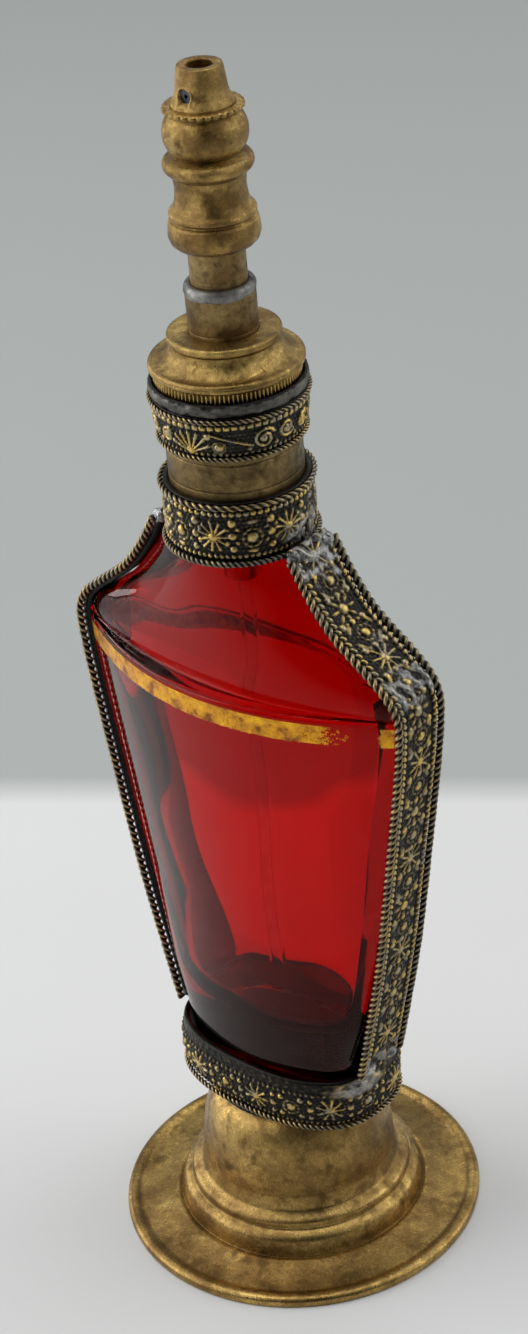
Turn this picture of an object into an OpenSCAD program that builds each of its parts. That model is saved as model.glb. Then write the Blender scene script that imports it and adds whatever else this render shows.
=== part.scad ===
// Finger-pump perfume atomiser: a lens-shaped glass bottle held in a soldered frame of stamped
// strips and twisted wire, on a spun brass foot, with a screw-on pump.
// Millimetres. +Z up, origin at the centre of the foot's underside, -Y is the front.

/* [Foot] */
// Outer radius of the foot's rolled rim
foot_r = 30; // [29:0.5:32]
// Sheet thickness of the spun foot
foot_sheet = 0.8; // [0.6:0.1:1.0]
// Height of the foot, up to the underside of the cup
foot_h = 24.8; // [24.4:0.1:25]

/* [Cup] */
// Half width of the oval cup at its top edge
cup_a = 19.1; // [18.9:0.1:19.4]
// Half depth of the oval cup at its top edge
cup_b = 12.4; // [12.2:0.1:12.8]
// Height of the cup's top edge above the table
cup_top = 34.8; // [34.4:0.1:35]
// Sheet thickness of the cup and of the side straps
strip_t = 1.0; // [0.8:0.1:1.1]

/* [Straps] */
// Half width of the stamped side strap, front to back
strap_half = 4.2; // [3.8:0.1:4.3]
// Radius of the twisted border wires
wire_r = 0.75; // [0.6:0.05:0.8]
// Half distance between the front and the back border wires
wire_y = 5.0; // [4.95:0.05:5.3]

/* [Glass] */
// Front bulge of the bottle's panel at the ledge, from the middle plane
panel_front = 13.5; // [12.5:0.1:14]
// Front bulge of the bottle's panel at the cup
panel_low = 11.1; // [10.5:0.1:11.3]
// Front bulge of the shoulder just above the ledge
shoulder_front = 10.6; // [10:0.1:11]
// Half thickness of the glass at its side edges
edge_half = 4.1; // [3.8:0.1:4.2]
// Height of the ledge where the panel ends
ledge_z = 105.8; // [104.5:0.1:106]
// Wall thickness at the front and the back of the cavity
wall_front = 3.0; // [2.5:0.1:3.2]
// Wall thickness at the sides of the cavity
wall_side = 4.2; // [3.5:0.1:4.5]
// Height of the cavity floor above the table
floor_z = 40.5; // [39:0.5:44]

/* [Neck] */
// Outer radius of the glass neck
neck_r = 8.6; // [8.4:0.05:8.6]
// Radius of the neck's bore
bore_r = 6.2; // [6.1:0.05:6.4]
// Outer radius of the brass neck sleeve
sleeve_r = 10.1; // [10:0.05:10.1]

/* [Cap] */
// Radius of the cap's large disc
cap_r = 11.46; // [11.3:0.02:11.6]
// Radius of the cap's knurled skirt
skirt_r = 10.9; // [10.8:0.02:10.95]
// Number of ridges on the cap's skirt
skirt_ridges = 104; // [96:1:112]
// Outer radius of the guide tube
guide_r = 5.15; // [5.0:0.05:5.3]

/* [Pump] */
// Travel of the plunger, from rest to fully pressed
stroke = 5.3; // [4.5:0.1:5.3]
// Radius of the visible stem sleeve
sleeve_stem_r = 4.15; // [4.1:0.01:4.18]
// Running clearance between a moving shaft and its bore, on the radius
run_gap = 0.08; // [0.05:0.01:0.1]
// Radius of the pump cylinder's bore
barrel_bore = 3.95; // [3.9:0.05:4.0]
// Number of turns of the return spring
spring_turns = 6; // [5:0.5:7]

/* [Head] */
// Height of the top of the spray head
top_z = 200; // [199.5:0.1:200.5]
// Radius of the head's beaded disc
bead_disc_r = 5.9; // [5.7:0.05:6.1]
// Number of beads on the head's disc
disc_beads = 30; // [24:1:34]

/* [Hidden] */

brass = "#8f7340";
old_brass = "#75603a";
pewter = "#4c4a45";
bright_solder = "#b4b4b0";
ruby = "#8c0a0a";
gilt = "#c9912f";
steel = "#b9bcc0";
rubber = "#2b2a2a";
tube_plastic = "#d8d6cc";

// Levels, from the foot up
cup_bottom = 25.0;
cup_floor_t = 1.2;
glass_bottom = 26.6;
shoulder_top = 127.1;
lower_band_z = [127.4, 137.6];
upper_band_z = [144.3, 151.5];
collar_z = [151.55, 153.6];
sleeve_z = [127.4, 149.0];
ring_z = [149.0, 154.2];
mouth_z = 153.6;
flange_z = [154.8, 156.0];
skirt_bottom = 151.0;
cap_ceiling = 156.1;
cap_web_top = 157.2;
cap_disc_z = 155.1;
cap_top = 160.5;
guide_top = 166.5;
ferrule_top = 168.0;
head_bottom = 173.5;
socket_z = 176.0;
spigot_top = 182.0;
nozzle_z = 196.2;

// Radii inside the neck and the pump
thread_r = 9.9;
skirt_bore = thread_r + run_gap;
collar_bore = skirt_r + 0.22;
stem_r = 2.0;
barrel_r = 5.2;
barrel_floor = 131.0;
barrel_bottom = 129.4;
spigot_r = 2.5;
spring_wire_r = 0.24;
spring_r = 3.25;
piston_z = 142.9;
valve_ball_r = 1.3;
outlet_ball_r = 1.15;
tube_r = 1.25;

// Outer line of one side of the frame, wires included, from the neck band down to the cup
frame_line = [
  [12.0, 130.6], [14.0, 128.6], [17.0, 123.6], [21.0, 118.5], [26.0, 114.6],
  [30.0, 111.3], [32.0, 108.3], [32.5, 104.5], [31.6, 96], [29.0, 80],
  [25.6, 60], [22.4, 45.5], [19.9, 35.0]
];
line_steps = 3;
strap_inset = 0.9;
glass_inset = 2.2;

// A smooth line through the points p, with m steps between each pair
function spline(p, m) = concat(
  [for (i = [0:len(p) - 2], s = [0:m - 1]) spline_point(p, i, s / m)],
  [p[len(p) - 1]]
);
function spline_point(p, i, t) =
  let (
    a = p[max(i - 1, 0)],
    b = p[i],
    c = p[i + 1],
    d = p[min(i + 2, len(p) - 1)]
  )
  0.5 * (2 * b + (c - a) * t + (2 * a - 5 * b + 4 * c - d) * t * t
    + (3 * b - a - 3 * c + d) * t * t * t);

// Unit normal of a plane line at its point i, on the left of its direction
function line_normal(p, i) =
  let (t = p[min(i + 1, len(p) - 1)] - p[max(i - 1, 0)])
  [-t[1], t[0]] / norm(t);
function shift_line(p, d) = [for (i = [0:len(p) - 1]) p[i] + d * line_normal(p, i)];
function reverse(p) = [for (i = [len(p) - 1:-1:0]) p[i]];

outer_line = spline(frame_line, line_steps);
strap_outer = shift_line(outer_line, -strap_inset);
strap_inner = shift_line(outer_line, -strap_inset - strip_t);
glass_line = shift_line(outer_line, -glass_inset);
// Half width of the glass at height z, read from the frame's line
glass_width_table = [for (p = reverse(glass_line)) [p[1], p[0]]];
function glass_half(z) = lookup(z, glass_width_table);

// A solid skinned over rings of points, all with the same number of points. Seen from the last
// ring's end, the points run counter-clockwise.
module skin(rings) {
  n = len(rings[0]);
  m = len(rings);
  points = [for (r = rings) each r];
  sides = [
    for (j = [0:m - 2], i = [0:n - 1])
      let (a = j * n + i, b = j * n + (i + 1) % n)
      each [[a, b + n, b], [a, a + n, b + n]]
  ];
  bottom = [[for (i = [0:n - 1]) i]];
  top = [[for (i = [n - 1:-1:0]) (m - 1) * n + i]];
  polyhedron(points, concat(bottom, sides, top), convexity = 6);
}

// A closed hoop skinned over rings of points, the last ring joined to the first
module hoop(rings) {
  n = len(rings[0]);
  m = len(rings);
  points = [for (r = rings) each r];
  faces = [
    for (j = [0:m - 1], i = [0:n - 1])
      let (
        a = j * n + i,
        b = j * n + (i + 1) % n,
        c = ((j + 1) % m) * n + (i + 1) % n,
        d = ((j + 1) % m) * n + i
      )
      each [[a, c, b], [a, d, c]]
  ];
  polyhedron(points, faces, convexity = 6);
}

// A round ring of wire about the Z axis
module wire_ring(radius, z, r) {
  translate([0, 0, z])
    rotate_extrude($fn = 96)
      translate([radius, 0]) circle(r = r, $fn = 24);
}

// A straight tube from z0 to z1
module tube(r_out, r_in, z0, z1) {
  translate([0, 0, z0])
    difference() {
      cylinder(r = r_out, h = z1 - z0, $fn = 96);
      translate([0, 0, -1]) cylinder(r = r_in, h = z1 - z0 + 2, $fn = 96);
    }
}

// ---- Foot -------------------------------------------------------------------------------

rim_in = foot_r - 2.2;
// Upper face of the foot, from the rim in and up to the top of the dome
foot_face = concat(
  [[foot_r, 0], [foot_r, 1.0], [foot_r - 0.4, 1.5], [foot_r - 1.1, 1.7], [foot_r - 1.9, 1.5]],
  [[rim_in - 0.4, 1.3], [25, 1.6], [21.4, 2.4], [20.7, 2.2]],
  [[20.3, 3.4], [20.0, 4.7], [19.5, 5.6], [18.9, 6.1], [18.6, 6.6], [18.3, 7.3], [17.8, 7.8]],
  [[17.1, 8.3], [16.4, 9.2]],
  [for (a = [0:10:50]) [11.5 + 4.5 * cos(a * 1.5), 11 + 13.2 * sin(a * 1.5)]],
  [[11.4, foot_h]]
);
// Underside, one sheet thickness below the upper face
foot_under = [
  [rim_in, 0], [rim_in - 0.3, 0.6], [25, 0.8], [21.2, 1.6], [19.9, 1.6],
  [19.4, 3.4], [19.1, 4.6], [18.6, 5.1], [17.9, 5.6], [17.5, 6.7], [16.7, 7.3], [15.7, 8.4]
];
dome_under = [
  for (a = [0:10:50])
    [11.4 + (4.6 - foot_sheet) * cos(a * 1.5), 11 + (13.2 - foot_sheet) * sin(a * 1.5)]
];

module foot() {
  color(brass)
    rotate_extrude($fn = 128)
      polygon(concat(
        foot_face, [[0, foot_h], [0, foot_h - foot_sheet]],
        reverse(concat(foot_under, dome_under))
      ));
}

module foot_solder_ring() {
  color(bright_solder)
    rotate_extrude($fn = 96)
      polygon([
        [11.5, foot_h], [13.0, cup_bottom - 0.02], [10.6, cup_bottom - 0.02], [10.6, foot_h]
      ]);
}

// ---- Cup --------------------------------------------------------------------------------

cup_points = 40;
cup_power = 2.5;
function signed_power(v, e) = sign(v) * pow(abs(v), e);
// Point of an oval of half axes a and b at the angle t
function oval(a, b, t, z) =
  [a * signed_power(cos(t), 2 / cup_power), b * signed_power(sin(t), 2 / cup_power), z];
// Outer face of the cup's wall: [fall of the half axes from their largest, height]
cup_wall = [[1.5, cup_bottom], [0.6, 26.2], [0.1, 28.6], [-0.1, 31.2], [0.3, cup_top]];
cup_wire_z = 26.0;

module cup_floor() {
  color(old_brass)
    translate([0, 0, cup_bottom])
      linear_extrude(cup_floor_t)
        polygon([
          for (i = [0:cup_points - 1])
            let (p = oval(cup_a - 2.7, cup_b - 2.4, 360 * i / cup_points, 0)) [p[0], p[1]]
        ]);
}

module cup_band() {
  color(pewter)
    hoop([
      for (i = [0:cup_points - 1])
        let (t = -360 * i / cup_points)
        concat(
          [for (w = cup_wall) oval(cup_a - w[0], cup_b + 0.3 - w[0], t, w[1])],
          [for (w = reverse(cup_wall))
            oval(cup_a - w[0] - strip_t, cup_b + 0.3 - w[0] - strip_t, t, w[1])]
        )
    ]);
}

// Frame of a cup position at the angle t: points out of the wall
module on_cup(t, z, out) {
  p = oval(cup_a + out, cup_b + 0.3 + out, t, z);
  q = oval(cup_a + out, cup_b + 0.3 + out, t + 1, z) - p;
  translate(p) rotate([0, 90, atan2(-q[0], q[1])]) children();
}

module cup_lower_wire() {
  r = 0.5;
  color(brass)
    hoop([
      for (i = [0:cup_points - 1])
        let (t = -360 * i / cup_points)
        [for (s = [0:60:300])
          oval(cup_a - 0.05 + r * cos(s), cup_b + 0.25 + r * cos(s), t, cup_wire_z + r * sin(s))]
    ]);
}

module cup_rosettes() {
  color(gilt)
    for (i = [0:15])
      on_cup(22.5 * i + 11.25, 30.4, -0.15)
        rosette(1.7, 0.6);
}

// A stamped flower: a low disc with a raised centre, along +Z
module rosette(r, h) {
  cylinder(r = r, h = h, $fn = 24);
  cylinder(r = r * 0.4, h = h + 0.25, $fn = 24);
}

// ---- Glass ------------------------------------------------------------------------------

section_steps = 12;
// Front bulge of the outer face at height z
panel_slope = (panel_front - panel_low) / (ledge_z - cup_top);
function panel_bulge(z) = panel_low + (z - cup_top) * panel_slope;
shoulder_bulges = [[ledge_z, shoulder_front], [118, 10.2], [124, 9.7], [shoulder_top, 9.3]];
function shoulder_bulge(z) = lookup(z, shoulder_bulges);

// One lens section: half width w, half depth f at the middle and e at the side edges;
// round blends it towards a circle of radius f, and slim is 2 for a lens, 1 for a full oval
function lens(w, f, e, z, round = 0, slim = 2) = concat(
  [for (i = [0:section_steps])
    lens_point(w, f, e, z, round, -1, 180 * i / section_steps, slim)],
  [for (i = [section_steps:-1:0])
    lens_point(w, f, e, z, round, 1, 180 * i / section_steps, slim)]
);
function lens_point(w, f, e, z, round, side, t, slim = 2) =
  let (bulge = e + (f - e) * pow(max(sin(t), 0), slim))
  [-w * cos(t), side * ((1 - round) * bulge + round * f * sin(t)), z];

// The panel fills the oval cup at its foot and is a lens above
slim_z = 62;
function slimness(z) = lookup(z, [[cup_top, 1], [slim_z, 2]]);
// The panel's outer section at height z
function panel_section(z) =
  lens(glass_half(z), panel_bulge(z), edge_half, z, 0, slimness(z));
panel_levels = [45, 60, 75, 90, 101.4, 104.8, ledge_z - 0.3];
shoulder_levels = [[107.5, 0], [110, 0], [113, 0], [117, 0.05], [121, 0.15], [125, 0.35]];

module glass_outside() {
  skin(concat(
    [lens(15.0, 9.2, 3.0, glass_bottom, 0, 1), lens(16.4, 10.6, 3.6, 27.8, 0, 1)],
    [lens(glass_half(cup_top) - 0.85, panel_low - 0.1, edge_half - 0.6, cup_top, 0, 1)],
    [for (z = panel_levels) panel_section(z)],
    [lens(glass_half(ledge_z) - 0.4, panel_bulge(ledge_z) - 0.5, edge_half, ledge_z)],
    [lens(glass_half(ledge_z) - 0.5, shoulder_front, edge_half - 0.1, ledge_z + 0.3)],
    [for (s = shoulder_levels)
      lens(glass_half(s[0]), shoulder_bulge(s[0]), edge_half - 0.1, s[0], s[1])],
    [lens(11.2, shoulder_bulge(shoulder_top), edge_half, shoulder_top, 0.6)]
  ));
  translate([0, 0, 126]) cylinder(r = neck_r, h = mouth_z - 126, $fn = 96);
}

cavity_levels = [45.5, 52, 62, 78, 95, 102];
cavity_tops = [[108, 0], [112, 0.05], [116, 0.15], [120, 0.35]];
cavity_edge = 2.4;

module glass_inside() {
  skin(concat(
    [lens(glass_half(floor_z) - wall_side - 4, 5.5, cavity_edge, floor_z, 0.3)],
    [for (z = cavity_levels)
      lens(glass_half(z) - wall_side, panel_bulge(z) - wall_front, cavity_edge, z, 0,
        slimness(z))],
    [for (s = cavity_tops)
      lens(glass_half(s[0]) - wall_side, shoulder_bulge(s[0]) - wall_front, cavity_edge,
        s[0], s[1])],
    [lens(9.6, 6.4, cavity_edge, 124, 0.6)]
  ));
  translate([0, 0, 121]) cylinder(r = bore_r, h = 40, $fn = 96);
}

module glass_bottle() {
  color(ruby)
    difference() {
      glass_outside();
      glass_inside();
    }
}

// Painted stripe: a thin skin on the panel, on the front (-1) or the back (1)
stripe_z = [101.4, 104.8];
stripe_t = 0.14;
stripe_gap = 0.02;
function stripe_point(z, t, out, side) =
  let (
    w = glass_half(z),
    f = panel_bulge(z),
    p = lens_point(w, f, edge_half, z, 0, side, t)
  )
  [p[0], p[1] + side * out, z];

module gilt_stripe(side) {
  steps = section_steps - 2;
  section = function (t) [
    stripe_point(stripe_z[0], t, stripe_gap, side),
    stripe_point(stripe_z[0], t, stripe_gap + stripe_t, side),
    stripe_point(stripe_z[1], t, stripe_gap + stripe_t, side),
    stripe_point(stripe_z[1], t, stripe_gap, side)
  ];
  angles = [for (i = [1:steps + 1]) 180 * i / section_steps];
  color(gilt) skin([for (t = side < 0 ? reverse(angles) : angles) section(t)]);
}

module gilt_stripe_front() {
  gilt_stripe(-1);
}

module gilt_stripe_back() {
  gilt_stripe(1);
}

// ---- Side straps ------------------------------------------------------------------------

module strap_right() {
  color(pewter)
    difference() {
      translate([0, strap_half, 0])
        rotate([90, 0, 0])
          linear_extrude(2 * strap_half)
            polygon(concat(strap_outer, reverse(strap_inner)));
      translate([0, 0, lower_band_z[0] - 0.3]) cylinder(r = 12.2, h = 10, $fn = 96);
    }
}

module strap_left() {
  mirror([1, 0, 0]) strap_right();
}

wire_line = shift_line(outer_line, -wire_r - 0.05);
// Border wire along the right side of the frame, at the depth y
module side_wire(y) {
  color(brass)
    skin([
      for (i = [3:len(wire_line) - 1])
        let (n = line_normal(wire_line, i), p = wire_line[i])
        [for (a = [0:45:315])
          [p[0] + wire_r * cos(a) * n[0], y - wire_r * sin(a), p[1] + wire_r * cos(a) * n[1]]]
    ]);
}

module wire_right_front() {
  side_wire(-wire_y);
}

module wire_right_back() {
  side_wire(wire_y);
}

module wire_left_front() {
  mirror([1, 0, 0]) side_wire(-wire_y);
}

module wire_left_back() {
  mirror([1, 0, 0]) side_wire(wire_y);
}

// Distance along a plane line up to its point i
function line_length(p, i) = i == 0 ? 0 : line_length(p, i - 1) + norm(p[i] - p[i - 1]);
// Table from the distance along a line to one of its coordinates
function line_table(p, k) = [for (i = [0:len(p) - 1]) [line_length(p, i), p[i][k]]];

strap_x = line_table(strap_outer, 0);
strap_z = line_table(strap_outer, 1);
rosette_pitch = 7.0;
rosette_first = 5.5;
rosette_last = 97;

// Stamped flowers along the right strap, at even distances
module rosettes_right() {
  color(gilt)
    for (s = [rosette_first:rosette_pitch:rosette_last]) {
      p = [lookup(s, strap_x), lookup(s, strap_z)];
      q = [lookup(s + 1, strap_x), lookup(s + 1, strap_z)];
      translate([p[0], 0, p[1]])
        rotate([0, atan2(p[1] - q[1], q[0] - p[0]), 0])
          translate([0, 0, -0.1]) rosette(1.9, 0.6);
    }
}

module rosettes_left() {
  mirror([1, 0, 0]) rosettes_right();
}

module solder_joints() {
  color(bright_solder) {
    for (x = [-13.6, 13.6], y = [-3.2, 3.2])
      translate([x, y, 127.9]) sphere(r = 1.2, $fn = 24);
    for (y = [-2.5, 2.5])
      translate([18.9, y, 35.6]) sphere(r = 1.1, $fn = 24);
  }
}

// ---- Neck -------------------------------------------------------------------------------

band_bore = sleeve_r + 0.05;
lower_band_r = 11.0;
upper_band_low_r = 10.45;
upper_band_high_r = 11.6;

module lower_band() {
  color(pewter) tube(lower_band_r, band_bore, lower_band_z[0], lower_band_z[1]);
}

module lower_band_top_wire() {
  color(brass) wire_ring(lower_band_r + 0.42, lower_band_z[1] - 0.5, 0.45);
}

module lower_band_bottom_wire() {
  color(brass) wire_ring(lower_band_r + 0.5, lower_band_z[0] + 0.5, 0.5);
}

// Flowers set round a neck band of radius r at the height z
module flower_ring(count, r, z, size) {
  color(gilt)
    for (i = [0:count - 1])
      rotate([0, 0, 360 * i / count])
        translate([r - 0.15, 0, z])
          rotate([0, 90, 0])
            rosette(size, 0.6);
}

module lower_band_rosettes() {
  flower_ring(12, lower_band_r, 132.4, 1.9);
}

module upper_band_rosettes() {
  flower_ring(10, 11.05, 147.9, 1.9);
}

module neck_sleeve() {
  color(brass) tube(sleeve_r, neck_r + 0.2, sleeve_z[0], sleeve_z[1]);
}

// The band is recessed at its top, so that the cap's skirt goes down inside it
recess_z = 150.7;
module upper_band() {
  color(pewter)
    rotate_extrude($fn = 96)
      polygon([
        [band_bore, upper_band_z[0]], [upper_band_low_r, upper_band_z[0]],
        [upper_band_high_r, upper_band_z[1]], [collar_bore, upper_band_z[1]],
        [collar_bore, recess_z], [band_bore, recess_z]
      ]);
}

module upper_band_top_wire() {
  color(brass) wire_ring(11.75, upper_band_z[1] - 0.5, 0.4);
}

module upper_band_bottom_wire() {
  color(brass) wire_ring(10.95, upper_band_z[0] + 0.42, 0.4);
}

collar_r = 11.85;
module collar_rim() {
  color("#6b6a66")
    rotate_extrude($fn = 96)
      polygon(concat(
        [[collar_bore, collar_z[0]], [collar_r - 0.4, collar_z[0]]],
        [for (a = [-50:20:50])
          [collar_r - 0.5 + 0.5 * cos(a), 152.55 + 1.05 * sin(a)]],
        [[collar_r - 0.5, collar_z[1]], [collar_bore, collar_z[1] - 0.15]]
      ));
}

// Neck ring with two thread ridges, cemented over the glass mouth
module neck_thread_ring() {
  core = thread_r - 0.5;
  color(old_brass)
    rotate_extrude($fn = 96)
      polygon([
        [neck_r + 0.05, ring_z[0]], [core, ring_z[0]],
        [core, 150.2], [thread_r, 150.7], [thread_r, 150.9], [core, 151.4],
        [core, 151.8], [thread_r, 152.3], [thread_r, 152.5], [core, 153.0],
        [core, ring_z[1]], [bore_r + 0.1, ring_z[1]], [bore_r + 0.1, mouth_z + 0.1],
        [neck_r + 0.05, mouth_z + 0.1]
      ]);
}

// ---- Cap --------------------------------------------------------------------------------

// Outline of a ridged skirt: ridges of height h about the radius r
function ridged(r, h, count) =
  [for (i = [0:2 * count - 1]) (r - (i % 2) * h) * [cos(180 * i / count), sin(180 * i / count)]];

module screw_cap() {
  color(old_brass)
    difference() {
      union() {
        translate([0, 0, skirt_bottom])
          linear_extrude(cap_disc_z - skirt_bottom)
            polygon(ridged(skirt_r, 0.35, skirt_ridges));
        rotate_extrude($fn = 128)
          polygon(concat(
            [[0, cap_disc_z - 0.2], [skirt_r - 0.4, cap_disc_z - 0.2]],
            [[skirt_r - 0.4, cap_disc_z], [cap_r - 0.25, cap_disc_z + 0.1]],
            [[cap_r, cap_disc_z + 0.35], [cap_r, cap_disc_z + 0.95]],
            [[cap_r - 0.25, cap_disc_z + 1.3]],
            [for (a = [0:15:90])
              [cap_r - 0.7 - 2.75 * sin(a), 159.1 - 2.7 * cos(a)]],
            [[8.2, 159.4], [8.4, 159.7], [8.4, 160.2], [8.1, cap_top], [0, cap_top]]
          ));
      }
      translate([0, 0, skirt_bottom - 1])
        cylinder(r = skirt_bore, h = cap_ceiling - skirt_bottom + 1, $fn = 96);
      translate([0, 0, cap_ceiling - 1]) cylinder(r = stem_r + 0.2, h = 4, $fn = 64);
      translate([0, 0, cap_web_top]) cylinder(r = guide_r + 0.02, h = 5, $fn = 64);
    }
}

guide_bore = sleeve_stem_r + run_gap;

module guide_tube() {
  color(old_brass) tube(guide_r, guide_bore + 0.12, cap_web_top, guide_top);
}

module guide_ferrule() {
  color(bright_solder)
    rotate_extrude($fn = 96)
      polygon([
        [guide_bore, guide_top], [guide_r + 0.05, guide_top], [guide_r + 0.1, 167.2],
        [guide_r - 0.1, ferrule_top - 0.2], [guide_r - 0.4, ferrule_top],
        [guide_bore, ferrule_top]
      ]);
}

module cap_gasket() {
  color(rubber) tube(9.2, 5.6, ring_z[1] + 0.02, flange_z[0] - 0.02);
}

// ---- Pump unit --------------------------------------------------------------------------

module pump_barrel() {
  color(steel)
    difference() {
      union() {
        translate([0, 0, barrel_bottom])
          cylinder(r = barrel_r, h = flange_z[1] - barrel_bottom, $fn = 96);
        translate([0, 0, flange_z[0]])
          cylinder(r = 9.2, h = flange_z[1] - flange_z[0], $fn = 96);
      }
      translate([0, 0, barrel_floor]) cylinder(r = barrel_bore, h = 40, $fn = 96);
      translate([0, 0, barrel_bottom - 1]) cylinder(r = 0.9, h = 5, $fn = 48);
    }
}

bushing_z = [150.6, 155.9];
module stem_bushing() {
  color(steel) tube(barrel_bore - 0.02, stem_r + run_gap, bushing_z[0], bushing_z[1]);
}

module stem_seal() {
  color(rubber) tube(barrel_bore - 0.05, stem_r + run_gap, 149.6, bushing_z[0] - 0.02);
}

chamber_z = [125.0, 129.38];
seat_hole_r = 0.8;
housing_z = 120.8;
module valve_housing() {
  color(steel)
    difference() {
      translate([0, 0, housing_z])
        cylinder(r = 3.0, h = chamber_z[1] - housing_z, $fn = 64);
      translate([0, 0, chamber_z[0]]) cylinder(r = 1.9, h = 5, $fn = 64);
      translate([0, 0, housing_z - 1]) cylinder(r = seat_hole_r, h = 8, $fn = 48);
      translate([0, 0, housing_z - 1])
        cylinder(r = tube_r + 0.01, h = 4.4, $fn = 64);
    }
}

// Height of a ball's centre when it rests just clear of the edge of its hole
function ball_rest(z, r, hole) = z + sqrt(r * r - hole * hole) + 0.05;

module inlet_ball() {
  color(steel)
    translate([0, 0, ball_rest(chamber_z[0], valve_ball_r, seat_hole_r)])
      sphere(r = valve_ball_r, $fn = 48);
}

dip_tube_z = [44, 124.1];
module dip_tube() {
  color(tube_plastic) tube(tube_r, 0.8, dip_tube_z[0], dip_tube_z[1]);
}

spring_z = [barrel_floor + 0.05, 141.6];
spring_steps = 14;
module return_spring() {
  count = spring_turns * spring_steps;
  rise = (spring_z[1] - spring_z[0] - 2 * spring_wire_r) / count;
  color(steel)
    skin([
      for (i = [0:count])
        let (t = -360 * i / spring_steps, z = spring_z[0] + spring_wire_r + i * rise)
        [for (a = [0:60:300])
          let (r = spring_r + spring_wire_r * cos(a))
          [r * cos(t), r * sin(t), z + spring_wire_r * sin(a)]]
    ]);
}

// ---- Plunger ----------------------------------------------------------------------------

stem_z = [139.6, 165.0];
stem_hole_r = 0.7;
sleeve_stem_z = 163.0;
outlet_chamber_r = 1.7;
outlet_chamber_top = 169.0;

module pump_stem() {
  color(steel)
    difference() {
      union() {
        translate([0, 0, piston_z])
          cylinder(r = stem_r, h = stem_z[1] - piston_z, $fn = 64);
        translate([0, 0, stem_z[0]])
          cylinder(r = 1.3, h = piston_z - stem_z[0] + 0.1, $fn = 64);
      }
      translate([0, 0, stem_z[0] - 1]) cylinder(r = stem_hole_r, h = 40, $fn = 48);
    }
}

module piston() {
  color(steel) tube(barrel_bore - run_gap, stem_r + 0.01, piston_z, piston_z + 2.8);
}

module piston_seal() {
  color(rubber) tube(barrel_bore - 0.04, 1.32, piston_z - 1.2, piston_z - 0.02);
}

module piston_nut() {
  color(steel)
    difference() {
      translate([0, 0, piston_z - 2.8]) cylinder(r = 2.4, h = 1.55, $fn = 6);
      translate([0, 0, piston_z - 5]) cylinder(r = 1.32, h = 6, $fn = 48);
    }
}

module stem_sleeve() {
  color(old_brass)
    difference() {
      union() {
        translate([0, 0, sleeve_stem_z])
          cylinder(r = sleeve_stem_r, h = socket_z - 0.2 - sleeve_stem_z, $fn = 96);
        translate([0, 0, socket_z - 1])
          cylinder(r = spigot_r, h = spigot_top - 0.3 - socket_z + 1, $fn = 64);
      }
      translate([0, 0, sleeve_stem_z - 1])
        cylinder(r = stem_r + 0.01, h = stem_z[1] - sleeve_stem_z + 1.01, $fn = 64);
      translate([0, 0, stem_z[1]])
        cylinder(r = outlet_chamber_r, h = outlet_chamber_top - stem_z[1], $fn = 64);
      translate([0, 0, outlet_chamber_top - 1]) cylinder(r = 0.8, h = 20, $fn = 48);
    }
}

module outlet_ball() {
  color(steel)
    translate([0, 0, ball_rest(stem_z[1], outlet_ball_r, stem_hole_r)])
      sphere(r = outlet_ball_r, $fn = 48);
}

// ---- Spray head -------------------------------------------------------------------------

disc_z = [193.5, 194.3];
disc_bore = 4.6;
head_face = concat(
  [[3.0, top_z], [3.3, top_z - 0.3], [3.45, 198.6], [3.7, 196.6], [3.95, 195.6]],
  [[4.35, 194.9], [disc_bore - 0.05, 194.5], [disc_bore - 0.05, disc_z[0] - 0.05]],
  [[5.3, disc_z[0] - 0.05]],
  [for (a = [55:-13:-62]) [3.4 + 2.7 * cos(a), 190.3 + 3.5 * sin(a)]],
  [for (a = [66:-22:-66]) [5.6 + 0.9 * cos(a), 185.8 + 1.1 * sin(a)]],
  [[5.3, 184.2], [5.15, 183.0], [5.15, 181.6], [5.3, 180.3], [5.7, 179.4], [6.25, 178.9]],
  [[6.3, 178.4], [5.95, 178.1], [5.95, 177.8], [6.4, 177.5]],
  [[6.6, 176.4], [6.65, 175.3], [6.35, 174.4], [5.5, 173.7], [4.95, head_bottom]]
);

module spray_head() {
  color(old_brass)
    difference() {
      rotate_extrude($fn = 128)
        polygon(concat([[0, top_z]], head_face, [[0, head_bottom]]));
      translate([0, 0, top_z - 2.4]) cylinder(r = 1.9, h = 4, $fn = 64);
      translate([0, 0, head_bottom - 1])
        cylinder(r = sleeve_stem_r + run_gap, h = socket_z - head_bottom + 1, $fn = 64);
      translate([0, 0, socket_z - 0.5])
        cylinder(r = spigot_r + run_gap, h = spigot_top - socket_z + 0.5, $fn = 64);
      translate([0, 0, spigot_top - 1]) cylinder(r = 0.8, h = 14.4, $fn = 48);
      translate([0, 0, nozzle_z])
        rotate([90, 0, 0]) cylinder(r = 1.2, h = 8, $fn = 48);
    }
}

module head_bead_disc() {
  bead_r = 0.42;
  color(brass)
    difference() {
      union() {
        translate([0, 0, disc_z[0]])
          cylinder(r = bead_disc_r - 0.45, h = disc_z[1] - disc_z[0], $fn = 96);
        for (i = [0:disc_beads - 1])
          rotate([0, 0, 360 * i / disc_beads])
            translate([bead_disc_r - bead_r, 0, (disc_z[0] + disc_z[1]) / 2])
              sphere(r = bead_r, $fn = 24);
      }
      translate([0, 0, disc_z[0] - 2]) cylinder(r = disc_bore, h = 6, $fn = 64);
    }
}

module spray_nozzle() {
  color("#2f3a55")
    translate([0, -0.95, nozzle_z])
      rotate([90, 0, 0])
        difference() {
          cylinder(r = 1.15, h = 2.3, $fn = 48);
          translate([0, 0, -1]) cylinder(r = 0.3, h = 5, $fn = 24);
        }
}

module head_plug() {
  color(old_brass)
    translate([0, 0, top_z - 2.38]) cylinder(r = 1.85, h = 0.9, $fn = 64);
}

// -----------------------------------------------------------------------------------------

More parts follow.
